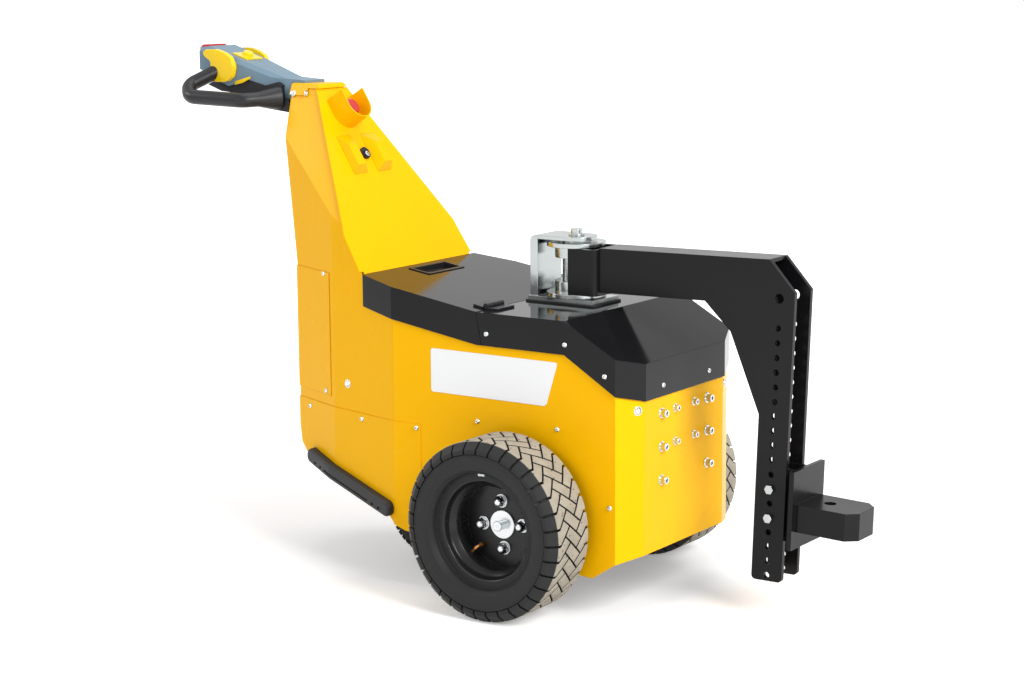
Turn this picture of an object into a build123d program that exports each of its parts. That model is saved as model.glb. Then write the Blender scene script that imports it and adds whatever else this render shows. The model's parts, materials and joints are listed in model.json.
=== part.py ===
from build123d import *
from math import cos, radians, sin, tan
import os

os.makedirs("parts", exist_ok=True)

# Pedestrian electric tow tractor in millimetres, +X towards the tow arm, +Y left, Z = 0 the floor.
# Places along the machine are distances ahead of the drive axle, turned into X by ahead().

# Clearances shared by all pieces
fit_gap = 0.3
panel_gap = 1.5
running_gap = 6
overrun = 40

# Drive wheels
tyre_radius = 187
tyre_width = 138
tyre_shoulder = 16
wheel_gap = 9
lug_count = 35
lug_gap = 6
lug_groove_depth = 8
lug_groove_length = 30
sidewall_top_radius = 164
sidewall_bulge_radius = 140
sidewall_bulge_depth = 5
rim_radius = 119
rim_barrel_radius = 101
rim_width = 90
rim_wall = 4
rim_lip_width = 4
rim_seat_width = 15
rim_well_radius = 87
rim_well_half = 19
wheel_disc_radius = 97
wheel_disc_thickness = 8
wheel_disc_inset = 22
hub_cap_radius = 30
hub_cap_thickness = 5
hub_flange_thickness = 10
axle_radius = 22
axle_end_radius = 10.5
axle_end_length = 18
axle_end_slot = 4
axle_end_slot_depth = 6
stud_count = 4
stud_pitch_diameter = 98
stud_radius = 6
nut_radius = 11
nut_height = 14
nut_dome_radius = 8
nut_dome_height = 8
nut_dome_sides = 12
nut_dome_taper = 30
hex_sides = 6

# Yellow sheet body: plan outline of the right half, distances ahead of the axle and half widths
sheet = 3
front_x = 262
front_half = 160
chamfer_x = 234
side_half = 227
flare_x = -322
bend_x = -532
bend_half = 168
back_x = -685
back_half = 103

# Body edges seen from the side
front_edge_z = 130
chamfer_edge_z = 121
front_rise_x = 180
front_rise_z = 86
rear_rise_x = -294
rear_rise_z = 119
flare_edge_z = 128
bumper_edge_x = -345
bumper_edge_z = 148
bend_edge_z = 193
rear_edge_z = 216
rear_edge_x = -642
rear_round_z = 286
rear_round_mid_x = -677
rear_round_mid_z = 246

# Bolted covers over the sides: one at the rear of the tower, one round the lower rear
cover_sheet = 1.5
rear_cover_front_x = -546
rear_cover_low_z = 375
rear_cover_high_z = 649
rear_skirt_front_x = -251
rear_skirt_front_z = 357
rear_skirt_rear_z = 351

# Black hood: battery lid behind the seam, front cover ahead of it
hood_sheet = 3
hood_gap = 1
hood_z = 611
seam_x = -102
seam_slant = 14
hood_slope_x = 115
hood_front_z = 530
lid_rear_x = -426
lid_rear_z = 661.5
lid_rear_gap = 6
skirt_height = 69
skirt_front_height = 79
skirt_overlap = 15

# Finger pull sunk in the lid, and its hinges on the seam
pull_front_x = -351
pull_rear_x = -397
pull_half = 60
pull_depth = 13
pull_wall = 2
pull_rim = 5
hinge_radius = 6
hinge_pin_radius = 3
hinge_leaf_thickness = 4
hinge_leaf_length = 24
hinge_inner_y = 137
hinge_outer_y = 196
hinge_knuckle = 15

# Tower that carries the handle
tower_base_x = -426
tower_base_z = 661.5
tower_top_x = -663
tower_top_z = 1042
tower_top_half = 45
facet_lean_share = 0.4185
facet_turn_share = 0.093
rear_lean_z = 650
rear_top_x = -741
cap_z = 1050
cap_skirt = 26
cap_lip = 10
cap_front_gap = -5
cap_overhang = 5
cap_reach = 100
cap_bend_radius = 5

# Front plate of the tower: half widths at three heights, and the foot inside the lid's skirts
plate_top_z = 1039
plate_top_half = 53
plate_bend_z = 737
plate_bend_half = 196
plate_low_half = 202
plate_foot_z = 664
plate_foot_half = 190

# Fittings on the front plate, by the height of their middle
stop_z = 985
stop_guard_radius = 38
stop_guard_wall = 3
stop_guard_leg = 34
stop_guard_height = 50
stop_stem_radius = 14
stop_stem_height = 22
stop_head_radius = 19
stop_head_height = 12
stop_head_round = 5
key_z = 896
key_radius = 14
key_height = 6
key_barrel_radius = 7
key_barrel_height = 9
guard_low_z = 857
guard_high_z = 938
guard_inner_y = 18
guard_outer_y = 66
guard_height = 18
guard_inner_taper = 15
guard_outer_taper = 6
guard_low_taper = 14
guard_high_taper = 30

# Swivel bracket on the hood
pivot_x = -5
pivot_base_rear = 90
pivot_base_front = 73
pivot_base_half = 50
pivot_base_thickness = 11
pivot_back_thickness = 19
pivot_back_rear = 88
pivot_top_thickness = 8
pivot_top_half = 45
pivot_top_gap = 4
pivot_bend_radius = 12
pivot_turn_gap = 1
flange_radius = 63
flange_thickness = 9
ring_radius = 46
ring_height = 24
neck_start = 13
neck_end = 81
neck_half = 54
neck_wall = 8
neck_height = 98
neck_corner = 14
kingpin_radius = 30
kingpin_nut_radius = 12
kingpin_nut_height = 14
kingpin_washer_radius = 17
kingpin_washer_thickness = 3
pad_width = 5
pad_thickness = 4

# Tow arm: two plates joined by a box beam
arm_half = 39
arm_plate = 10
beam_height = 93
beam_top_z = 734
beam_rise_angle = 1.0
beam_skin = 8
leg_lean_angle = 2.2
leg_x = 479
leg_width = 69
leg_bottom_z = 82
leg_corner_radius = 9
arm_cut_x = 478
arm_cut_z = 677
knee_low_z = 425
knee_x = 391
knee_z = 588
knee_top_x = 331
arm_hole_radius = 6.5
arm_big_hole_radius = 10
arm_hole_pitch = 30
arm_hole_count = 18
arm_hole_low_z = 94
arm_big_hole_z = 664

# Hitch bolted in the leg
hitch_z = 244
hitch_plate_half = 67
hitch_plate_height = 162
hitch_plate_thickness = 10
hitch_plate_gap = 22
channel_wall = 8
channel_height = 150
channel_back = 30
tongue_half = 54
tongue_reach = 198.5
tongue_height = 56
tongue_drop = 16
tongue_corner = 22
tongue_hole_radius = 12.5
tongue_hole_inset = 82
bolt_radius = 6
bolt_head_radius = 10
bolt_head_height = 8
bolt_low_row = 4
bolt_row_step = 2
bolt_rows = 2

# Rear castor
castor_pivot_x = -325
castor_trail = 50
castor_radius = 125
castor_width = 80
castor_shoulder = 14
castor_lug_count = 28
castor_lug_gap = 5
castor_lug_depth = 4
castor_rim_radius = 65
castor_hub_radius = 24
castor_hub_half = 44
castor_web_share = 0.3
castor_axle_radius = 8
castor_axle_head = 14
castor_leg_gap = 2
castor_leg_thickness = 8
castor_leg_width = 56
castor_crown_thickness = 10
castor_crown_gap = 14
castor_plate_half = 70
castor_plate_thickness = 10
castor_bearing_radius = 48
castor_bearing_height = 16

# Inside: tray, battery, drive unit, rails and pivot post
tray_thickness = 5
tray_front_x = -128
tray_rear_x = -620
battery_length = 270
battery_side_gap = 34
battery_height = 220
drive_length = 200
drive_half = 150
drive_height = 170
axle_tube_radius = 34
axle_tube_end = 5
rail_thickness = 8
rail_gap = 6
rail_drop = 47
rail_height = 150
rail_rear_x = -128
bulkhead_thickness = 10
bulkhead_half = 150
bulkhead_low_z = 150
bulkhead_height = 290
post_half = 42
post_base_height = 24

# Bumper strips: one on each side of the lower rear, rising to the rear, and one across the back
bumper_height = 34
bumper_depth = 20
bumper_front_x = -326
bumper_front_z = 142
bumper_rear_x = -634
bumper_rear_z = 214
bumper_end_radius = 15
bumper_edge_radius = 7
bumper_groove_drop = 23
bumper_groove_height = 4
bumper_groove_depth = 3
bumper_groove_inset = 74
bumper_hole_radius = 3.5
bumper_hole_inset = 36
bumper_hole_pitch = 22
bumper_hole_count = 2
bumper_back_half = 60
bumper_back_x = -690
bumper_back_z = 219

# Handle: grey head on the tower, black fairing under it, a black grip loop on each side
head_seat = 36
head_back_gap = 2
head_top_gap = 0.3
head_length = 288
head_peak_back = 236
head_wide_back = 145
head_peak_z = 1127
head_tip_z = 1124
head_neck_back = 20
head_neck_z = 1059
head_nose_height = 6
head_low_z = 1013
head_root_half = 34
head_tip_half = 52
head_edge_radius = 9
head_edge_count = 6
button_length = 28
button_half = 44
button_low_z = 1072
button_high_z = 1129
button_edge = 6
fairing_low_z = 984
fairing_half = 46
loop_radius = 16.5
loop_half = 138
loop_base_z = 1012
loop_rise = 62
loop_corner = 26
loop_root_width = 20
loop_root_height = 27
loop_root_share = 0.6
lever_thickness = 13
lever_corner = 4
rocker_back = 160
rocker_length = 44
rocker_half = 28
rocker_thickness = 3
knob_radius = 12
knob_height = 10
knob_round = 5
loop_shares = (
    # back along the head, out, up
    (0.10, 0.30, 0.05),
    (0.26, 0.86, 0.00),
    (0.74, 1.00, 0.08),
    (0.84, 0.80, 0.45),
    (0.70, 0.34, 1.00),
)
under_shares = (
    # back along the head, up from its lowest to its highest point: underside from tip to root
    (0.903, 0.540),
    (0.736, 0.340),
    (0.604, 0.220),
    (0.410, 0.360),
    (0.243, 0.255),
    (0.108, 0.333),
    (0.070, 0.270),
    (0.070, 0.000),
    (0.000, 0.000),
)
fairing_shares = (
    # back along the head, up from the fairing's lowest point to the head's highest: lower edge, rear to front
    (0.840, 0.385),
    (0.700, 0.290),
    (0.610, 0.275),
    (0.300, 0.060),
)
lever_shares = (
    # back along the head, up from its lowest to its highest point: outline of a thumb lever
    (0.837, 0.895),
    (0.799, 0.947),
    (0.691, 0.956),
    (0.604, 0.886),
    (0.538, 0.807),
    (0.507, 0.614),
    (0.531, 0.395),
    (0.590, 0.298),
    (0.770, 0.307),
    (0.757, 0.702),
    (0.819, 0.816),
)


def save(builder, name):
    """Label a finished piece and write it as its own file."""
    builder.part.label = name
    export_step(builder.part, f"parts/{name}.step")


def box_between(x_near, x_far, y_near, y_far, z_low, z_high):
    """Add a block between opposite corners to the part that is being built."""
    with Locations(((x_near + x_far) / 2, (y_near + y_far) / 2, (z_low + z_high) / 2)):
        Box(abs(x_far - x_near), abs(y_far - y_near), z_high - z_low)


def along(start, end, share):
    """Value part of the way from start to end."""
    return start + (end - start) * share


# Both hands of a piece: name and sign of Y
hands = (("left", 1), ("right", -1))

# The machine's ends: tip of the tongue and tip of the handle, and the middle between them
leg_lean = tan(radians(leg_lean_angle))
tongue_rise = tongue_height / 2 - tongue_drop
cap_rear_x = rear_top_x - cap_overhang
head_root_x = cap_rear_x - head_back_gap


def leg_line_x(z):
    """Distance ahead of the axle of the leg's middle line at a height."""
    return leg_x + leg_lean * (z - leg_bottom_z)


reach_front = leg_line_x(hitch_z) + (tongue_reach + tongue_rise * leg_lean) * cos(radians(leg_lean_angle))
reach_rear = head_length - head_root_x
axle_x = (reach_rear - reach_front) / 2


def ahead(distance):
    """X of a place given as a distance ahead of the drive axle."""
    return axle_x + distance


# Places that follow from the dimensions above
wheel_track = (side_half + wheel_gap) * 2 + tyre_width
rail_low_z = tyre_radius - rail_drop
cap_front_x = tower_top_x + cap_front_gap
front_plane_slope = (tower_base_x - tower_top_x) / (tower_top_z - tower_base_z)
front_slope_length = (1 + front_plane_slope ** 2) ** 0.5
front_plane = Plane(
    origin=(ahead(tower_base_x), 0, tower_base_z), x_dir=(0, 1, 0), z_dir=(1, 0, front_plane_slope),
)
skin_peak_z = cap_z - hood_sheet - fit_gap
skin_drop = skirt_height - skirt_overlap
cap_low_z = cap_z - cap_skirt
body_length = front_x - back_x
cut_width = (side_half + overrun) * 2
cut_height = (cap_z + overrun) * 2


def plan_points():
    """Right-hand and left-hand plan outline of the body, front to rear."""
    right = (
        (front_x, front_half),
        (chamfer_x, side_half),
        (flare_x, side_half),
        (bend_x, bend_half),
        (back_x, back_half),
    )
    rear_x = rear_top_x - overrun
    rear_half = back_half + (bend_half - back_half) / (bend_x - back_x) * (rear_x - back_x)
    return [(ahead(x), -half) for x, half in (*right, (rear_x, rear_half))]


def front_line_x(z):
    """Distance ahead of the axle of the sloping tower front at a height."""
    return tower_base_x - front_plane_slope * (z - tower_base_z)


def up_plate(z):
    """Place along the sloping tower front of a height, for sketches on front_plane."""
    return (z - tower_base_z) * front_slope_length


def hood_line_z(x):
    """Height of the hood top at a distance ahead of the axle."""
    if x < seam_x:
        return hood_z + (lid_rear_z - hood_z) * (x - seam_x) / (lid_rear_x - seam_x)
    if x < hood_slope_x:
        return hood_z
    return hood_z + (hood_front_z - hood_z) * (x - hood_slope_x) / (front_x - hood_slope_x)


def plan_extrusion(grow, low, high):
    """Column with the plan outline of the body grown or shrunk, wide open to the rear."""
    near = plan_points()
    far = [(x, -y) for x, y in reversed(near)]
    with BuildSketch(Plane.XY.offset(low)) as outline:
        with BuildLine():
            Polyline(*near, *far, close=True)
        make_face()
        if grow:
            offset(amount=grow, kind=Kind.INTERSECTION)
    extrude(outline.sketch, amount=high - low)


def side_of(hand):
    """Keep what lies on one side of the middle plane."""
    with Locations((ahead(back_x), hand * cut_width / 2, 0)):
        Box(body_length * 2, cut_width, cut_height, mode=Mode.INTERSECT)


def side_cut(points):
    """Keep what lies inside a side-view outline."""
    with BuildSketch(Plane.XZ) as outline:
        with BuildLine():
            Polyline(*[(ahead(x), z) for x, z in points], close=True)
        make_face()
    extrude(outline.sketch, amount=side_half + overrun, both=True, mode=Mode.INTERSECT)


def facet_cut(inset):
    """Trim both upper tower corners to their slanting facets."""
    for name, hand in hands:
        normal = Vector(-facet_turn_share, hand, facet_lean_share).normalized()
        start = Vector(ahead(tower_top_x), hand * tower_top_half, tower_top_z) - normal * inset
        split(bisect_by=Plane(origin=start, z_dir=normal), keep=Keep.BOTTOM)


def skin_profile(inset, margin):
    """Side-view outline of the yellow skin, its open edges pushed out by a margin."""
    top = skin_drop - margin
    meet_x = lid_rear_x + front_plane_slope * skin_drop
    back = inset * front_slope_length
    meet_z = hood_line_z(meet_x) - top
    peak = skin_peak_z + margin
    return (
        (front_x - inset, front_edge_z - margin),
        (front_x - inset, hood_line_z(front_x) - top),
        (hood_slope_x, hood_z - top),
        (seam_x, hood_z - top),
        (front_line_x(meet_z) - back, meet_z),
        (front_line_x(peak) - back, peak),
        (rear_top_x + inset, peak),
        (rear_top_x + inset, cap_low_z),
        (back_x + inset, rear_lean_z),
        (back_x + inset, rear_round_z),
        (rear_round_mid_x + inset, rear_round_mid_z),
        (rear_edge_x + inset, rear_edge_z - margin),
        (bend_x - sheet, bend_edge_z - margin),
        (bumper_edge_x, bumper_edge_z - margin),
        (flare_x, flare_edge_z - margin),
        (rear_rise_x, rear_rise_z - margin),
        (front_rise_x, front_rise_z - margin),
        (chamfer_x, chamfer_edge_z - margin),
    )


# Yellow skin as one hollow shell, then split where the real panels meet
with BuildPart() as skin_outside:
    plan_extrusion(0, 0, cap_z)
    side_cut(skin_profile(0, 0))
    facet_cut(0)

with BuildPart() as skin_inside:
    plan_extrusion(-sheet, 0, cap_z + overrun)
    side_cut(skin_profile(sheet, skirt_overlap))
    facet_cut(sheet)

with BuildPart() as skin:
    add(skin_outside.part)
    add(skin_inside.part, mode=Mode.SUBTRACT)
    for name, hand in hands:
        with Locations((axle_x, hand * side_half, tyre_radius)):
            Cylinder(axle_tube_radius + running_gap, overrun, rotation=(90, 0, 0), mode=Mode.SUBTRACT)

with BuildPart() as front_panel:
    add(skin.part)
    with Locations((ahead(chamfer_x) + overrun, 0, 0)):
        Box(overrun * 2, cut_width, cut_height, mode=Mode.INTERSECT)
save(front_panel, "front_panel")

for name, hand in hands:
    with BuildPart() as side_panel:
        add(skin.part)
        with Locations((ahead((chamfer_x + flare_x) / 2), hand * side_half, 0)):
            Box(chamfer_x - flare_x, side_half, cut_height, mode=Mode.INTERSECT)
    save(side_panel, f"side_panel_{name}")

plate_low_z = hood_line_z(lid_rear_x) - skin_drop
plate_back = (sheet + fit_gap) * front_slope_length
front_strip = (
    (front_line_x(plate_low_z) + overrun, plate_low_z),
    (front_line_x(skin_peak_z) + overrun, skin_peak_z),
    (front_line_x(skin_peak_z) - plate_back, skin_peak_z),
    (front_line_x(plate_low_z) - plate_back, plate_low_z),
)
rear_strip = (
    (back_x + sheet, rear_lean_z),
    (rear_top_x + sheet, cap_low_z),
    (rear_top_x + sheet, skin_peak_z),
    (rear_top_x - body_length, skin_peak_z),
    (rear_top_x - body_length, 0),
    (rear_edge_x + sheet, 0),
    (rear_edge_x + sheet, rear_edge_z),
    (rear_round_mid_x + sheet, rear_round_mid_z),
    (back_x + sheet, rear_round_z),
)

with BuildPart() as tower_skin:
    add(skin.part)
    with Locations((ahead(flare_x) - body_length / 2, 0, 0)):
        Box(body_length, cut_width, cut_height, mode=Mode.INTERSECT)

with BuildPart() as plate_zone:
    add(tower_skin.part)
    side_cut(front_strip)

plate_points = (
    (plate_top_half, plate_top_z),
    (plate_bend_half, plate_bend_z),
    (plate_low_half, plate_foot_z),
    (plate_foot_half, plate_foot_z),
    (plate_foot_half, plate_low_z),
)
with BuildPart() as tower_front:
    with BuildSketch(front_plane) as plate:
        with BuildLine():
            right = [(half, up_plate(z)) for half, z in plate_points]
            Polyline(*right, *[(-half, up) for half, up in reversed(right)], close=True)
        make_face()
    extrude(plate.sketch, amount=-sheet)
save(tower_front, "tower_front")

with BuildPart() as back_panel:
    add(tower_skin.part)
    side_cut(rear_strip)
save(back_panel, "back_panel")

for name, hand in hands:
    with BuildPart() as tower_side:
        add(tower_skin.part)
        add(plate_zone.part, mode=Mode.SUBTRACT)
        add(back_panel.part, mode=Mode.SUBTRACT)
        side_of(hand)
    save(tower_side, f"tower_side_{name}")


def cap_shape(grow, low):
    """Block that follows the tower's top outside its skin, grown by a thickness."""
    front = grow * front_slope_length
    box_between(
        ahead(rear_top_x) - fit_gap - grow, ahead(cap_front_x) + overrun, -cap_reach, cap_reach,
        low, skin_peak_z + fit_gap + grow,
    )
    side_cut((
        (rear_top_x - overrun, low - overrun),
        (front_line_x(low - overrun) + front, low - overrun),
        (front_line_x(cap_z + overrun) + front, cap_z + overrun),
        (rear_top_x - overrun, cap_z + overrun),
    ))
    facet_cut(-grow)


# Cap that closes the tower top, its skirts folded down over the sides, a short lip in front
with BuildPart() as cap_inside:
    cap_shape(fit_gap, cap_low_z - overrun)

with BuildPart() as tower_cap:
    cap_shape(fit_gap + hood_sheet, cap_low_z)
    fillet(tower_cap.edges().group_by(Axis.Z)[-1], cap_bend_radius)
    add(cap_inside.part, mode=Mode.SUBTRACT)
    side_cut((
        (rear_top_x - overrun, cap_low_z),
        (front_line_x(cap_low_z) - overrun, cap_low_z),
        (front_line_x(cap_low_z) - overrun, cap_z - cap_lip),
        (front_line_x(cap_low_z) + overrun, cap_z - cap_lip),
        (front_line_x(cap_low_z) + overrun, cap_z + overrun),
        (rear_top_x - overrun, cap_z + overrun),
    ))
save(tower_cap, "tower_cap")

# Fittings on the front plate: stop button in its guard, key switch between two pads
with BuildPart() as stop_guard:
    with BuildSketch(front_plane) as guard_wall:
        with Locations((0, up_plate(stop_z))):
            Circle(stop_guard_radius)
            Circle(stop_guard_radius - stop_guard_wall, mode=Mode.SUBTRACT)
        with Locations((0, up_plate(stop_z) + stop_guard_radius / 2)):
            Rectangle(stop_guard_radius * 2, stop_guard_radius, mode=Mode.SUBTRACT)
        for name, hand in hands:
            with Locations((
                hand * (stop_guard_radius - stop_guard_wall / 2), up_plate(stop_z) + stop_guard_leg / 2,
            )):
                Rectangle(stop_guard_wall, stop_guard_leg)
    extrude(guard_wall.sketch, amount=stop_guard_height)
save(stop_guard, "stop_guard")

with BuildPart() as stop_button:
    with BuildSketch(front_plane) as stem:
        with Locations((0, up_plate(stop_z))):
            Circle(stop_stem_radius)
    extrude(stem.sketch, amount=stop_stem_height)
    with BuildSketch(front_plane.offset(stop_stem_height)) as mushroom:
        with Locations((0, up_plate(stop_z))):
            Circle(stop_head_radius)
    extrude(mushroom.sketch, amount=stop_head_height)
    stop_top = stop_button.faces().sort_by(Axis(front_plane.origin, front_plane.z_dir))[-1]
    fillet(stop_top.edges(), stop_head_round)
save(stop_button, "stop_button")

with BuildPart() as key_switch:
    with BuildSketch(front_plane) as bezel:
        with Locations((0, up_plate(key_z))):
            Circle(key_radius)
    extrude(bezel.sketch, amount=key_height)
    with BuildSketch(front_plane.offset(key_height)) as barrel:
        with Locations((0, up_plate(key_z))):
            Circle(key_barrel_radius)
    extrude(barrel.sketch, amount=key_barrel_height - key_height)
save(key_switch, "key_switch")

with BuildPart() as switch_guards:
    for name, hand in hands:
        pad_corners = (
            (guard_inner_y, up_plate(guard_low_z)), (guard_outer_y, up_plate(guard_low_z)),
            (guard_outer_y, up_plate(guard_high_z)), (guard_inner_y, up_plate(guard_high_z)),
        )
        pad_tapers = (
            (guard_inner_taper, guard_low_taper), (-guard_outer_taper, guard_low_taper),
            (-guard_outer_taper, -guard_high_taper), (guard_inner_taper, -guard_high_taper),
        )
        with BuildSketch(front_plane) as pad_base:
            with BuildLine():
                Polyline(*[(hand * y, up) for y, up in pad_corners], close=True)
            make_face()
        with BuildSketch(front_plane.offset(guard_height)) as pad_top:
            with BuildLine():
                Polyline(
                    *[
                        (hand * (y + taper), up + rise)
                        for (y, up), (taper, rise) in zip(pad_corners, pad_tapers)
                    ],
                    close=True,
                )
            make_face()
        loft([pad_base.sketch, pad_top.sketch], ruled=True)
save(switch_guards, "switch_guards")


def cover_over(grow, outline):
    """Layer over the body's sides and rear, grown by a thickness, inside a side-view outline."""
    plan_extrusion(grow, 0, cap_z)
    side_cut(outline)


# Bolted covers: rear of the tower, and the skirt round the lower rear
rear_cover_points = (
    (rear_cover_front_x, rear_cover_low_z),
    (rear_cover_front_x, rear_cover_high_z),
    (back_x - cover_sheet - fit_gap, rear_cover_high_z),
    (back_x - cover_sheet - fit_gap, rear_cover_low_z),
)


def cover_profile(gap):
    """Side-view outline of the body's rear moved out by a gap, for what lies on it."""
    return (
        (front_x, 0),
        (front_x, rear_lean_z),
        (back_x - gap, rear_lean_z),
        (back_x - gap, rear_round_z),
        (rear_round_mid_x - gap, rear_round_mid_z),
        (rear_edge_x - gap, rear_edge_z),
        (rear_edge_x - gap, 0),
    )


with BuildPart() as cover_core:
    cover_over(fit_gap, cover_profile(fit_gap))

with BuildPart() as rear_cover:
    cover_over(fit_gap + cover_sheet, rear_cover_points)
    add(cover_core.part, mode=Mode.SUBTRACT)
save(rear_cover, "rear_cover")

low_edge_share = (rear_skirt_front_x - rear_rise_x) / (front_rise_x - rear_rise_x)
rear_skirt_points = (
    (rear_skirt_front_x, along(rear_rise_z, front_rise_z, low_edge_share)),
    (rear_skirt_front_x, rear_skirt_front_z),
    (back_x - cover_sheet - fit_gap, rear_skirt_rear_z),
    (back_x - cover_sheet - fit_gap, rear_round_z),
    (rear_round_mid_x - cover_sheet - fit_gap, rear_round_mid_z),
    (rear_edge_x - cover_sheet - fit_gap, rear_edge_z),
    (bend_x, bend_edge_z),
    (bumper_edge_x, bumper_edge_z),
    (flare_x, flare_edge_z),
    (rear_rise_x, rear_rise_z),
)
with BuildPart() as rear_skirt:
    cover_over(fit_gap + cover_sheet, rear_skirt_points)
    add(cover_core.part, mode=Mode.SUBTRACT)
save(rear_skirt, "rear_skirt")


# Black hood, folded sheet with skirts outside the yellow walls
def hood_profile(inset, margin):
    """Side-view outline of the hood, its open lower and rear edges pushed out by a margin."""
    rear_x = lid_rear_x + lid_rear_gap - margin
    low = skirt_height + margin
    front_edge = front_x + hood_gap + hood_sheet - inset
    return (
        (front_edge, hood_line_z(front_x) - skirt_front_height - margin),
        (front_edge, hood_line_z(front_edge) - inset),
        (hood_slope_x, hood_z - inset),
        (seam_x, hood_z - inset),
        (rear_x, hood_line_z(rear_x) - inset),
        (rear_x, hood_line_z(rear_x) - low),
        (seam_x, hood_z - low),
        (hood_slope_x, hood_z - low),
    )


with BuildPart() as hood_outside:
    plan_extrusion(hood_gap + hood_sheet, hood_front_z - skirt_height * 2, lid_rear_z + overrun)
    side_cut(hood_profile(0, 0))

with BuildPart() as hood_inside:
    plan_extrusion(hood_gap, hood_front_z - skirt_height * 2 - overrun, lid_rear_z + overrun)
    side_cut(hood_profile(hood_sheet, skirt_overlap))

with BuildPart() as hood:
    add(hood_outside.part)
    add(hood_inside.part, mode=Mode.SUBTRACT)

seam_low_x = seam_x + seam_slant
seam_low_z = hood_z - skirt_height
seam_strip = (
    (seam_x - panel_gap / 2, hood_z + overrun),
    (seam_x - panel_gap / 2, hood_z),
    (seam_low_x - panel_gap / 2, seam_low_z),
    (seam_low_x - panel_gap / 2, seam_low_z - overrun),
)
lid_region = (*seam_strip, (back_x, seam_low_z - overrun), (back_x, hood_z + skirt_height * 2))
cover_region = (
    *[(x + panel_gap, z) for x, z in seam_strip],
    (front_x + overrun, seam_low_z - overrun - hood_z),
    (front_x + overrun, hood_z + overrun),
)

lid_rise = (lid_rear_z - hood_z) / (seam_x - lid_rear_x)
pull_mid_x = (pull_front_x + pull_rear_x) / 2
pull_length = (pull_front_x - pull_rear_x) * (1 + lid_rise ** 2) ** 0.5
pull_plane = Plane(
    origin=(ahead(pull_mid_x), 0, hood_line_z(pull_mid_x)), x_dir=(0, 1, 0), z_dir=(lid_rise, 0, 1),
)


def pull_block(grow, low, high, mode=Mode.ADD):
    """Block square to the lid round the finger pull, grown in plan, between two heights over the lid."""
    with BuildSketch(pull_plane.offset(low)) as block:
        Rectangle((pull_half + grow) * 2, pull_length + grow * 2)
    extrude(block.sketch, amount=high - low, mode=mode)


with BuildPart() as battery_lid:
    add(hood.part)
    side_cut(lid_region)
    pull_block(fit_gap, -overrun, overrun, Mode.SUBTRACT)
save(battery_lid, "battery_lid")

with BuildPart() as finger_pull:
    pull_block(pull_rim, 0, pull_wall)
    pull_block(0, -pull_depth, 0)
    pull_block(-pull_wall, pull_wall - pull_depth, overrun, Mode.SUBTRACT)
save(finger_pull, "finger_pull")

with BuildPart() as front_cover:
    add(hood.part)
    side_cut(cover_region)
    with Locations((ahead(pivot_x), 0, hood_z)):
        Box((post_half + fit_gap) * 2, (post_half + fit_gap) * 2, overrun, mode=Mode.SUBTRACT)
save(front_cover, "front_cover")

# Two hinges on top of the seam: outer knuckles and pin on the cover, middle knuckle on the lid
hinge_z = hood_z + hinge_radius + hood_gap


def hinge_bar(way, hand, inner, outer, start, end):
    """Strip of a hinge leaf on the hood, between distances from the middle plane and from the seam."""
    near_x = seam_x + way * start
    far_x = seam_x + way * end
    near_z = hood_line_z(near_x) + fit_gap
    far_z = hood_line_z(far_x) + fit_gap
    with BuildSketch(Plane.XZ.offset(-hand * inner)) as strip:
        with BuildLine():
            Polyline(
                (ahead(near_x), near_z), (ahead(far_x), far_z), (ahead(far_x), far_z + hinge_leaf_thickness),
                (ahead(near_x), near_z + hinge_leaf_thickness), close=True,
            )
        make_face()
    extrude(strip.sketch, amount=-hand * (outer - inner))


def hinge_round(hand, inner, outer, radius, mode=Mode.ADD):
    """Round stretch of a hinge on its pin's axis, between distances from the middle plane."""
    with BuildSketch(Plane.XZ.offset(-hand * inner)) as section:
        with Locations((ahead(seam_x), hinge_z)):
            Circle(radius)
    extrude(section.sketch, amount=-hand * (outer - inner), mode=mode)


knuckle_in = hinge_inner_y + hinge_knuckle
knuckle_out = hinge_outer_y - hinge_knuckle
leaf_start = hinge_radius + panel_gap
leaf_end = leaf_start + hinge_leaf_length
with BuildPart() as lid_hinges:
    for name, hand in hands:
        hinge_bar(-1, hand, hinge_inner_y, hinge_outer_y, leaf_start, leaf_end)
        hinge_bar(-1, hand, knuckle_in + fit_gap, knuckle_out - fit_gap, 0, leaf_start)
        hinge_round(hand, knuckle_in + fit_gap, knuckle_out - fit_gap, hinge_radius)
        hinge_round(hand, hinge_inner_y, hinge_outer_y, hinge_pin_radius + fit_gap, Mode.SUBTRACT)
save(lid_hinges, "lid_hinges")

with BuildPart() as cover_hinges:
    for name, hand in hands:
        hinge_bar(1, hand, hinge_inner_y, hinge_outer_y, leaf_start, leaf_end)
        hinge_round(hand, hinge_inner_y, hinge_outer_y, hinge_pin_radius)
        for inner, outer in ((hinge_inner_y, knuckle_in), (knuckle_out, hinge_outer_y)):
            hinge_bar(1, hand, inner, outer, 0, leaf_start)
            hinge_round(hand, inner, outer, hinge_radius)
save(cover_hinges, "cover_hinges")


# Drive wheels
def wheel_plane(hand):
    """Section plane of a drive wheel: X out along the axle, Y the radius."""
    centre = (axle_x, hand * wheel_track / 2, tyre_radius)
    return Plane(origin=centre, x_dir=(0, hand, 0), z_dir=(1, 0, 0))


def wheel_axis(hand):
    """Axis of a drive wheel, pointing out."""
    return Axis((axle_x, hand * wheel_track / 2, tyre_radius), (0, hand, 0))


def half_profile(points):
    """Closed outline from its right half, mirrored in the line X = 0."""
    with BuildSketch() as half:
        with BuildLine():
            Polyline(*points, (0, points[-1][1]), (0, points[0][1]), close=True)
        make_face()
        mirror(about=Plane.YZ)
    return half.sketch


def turned(section, plane, axis):
    """Add the solid that a section sweeps round an axis."""
    revolve(plane * section, axis=axis)


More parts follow.
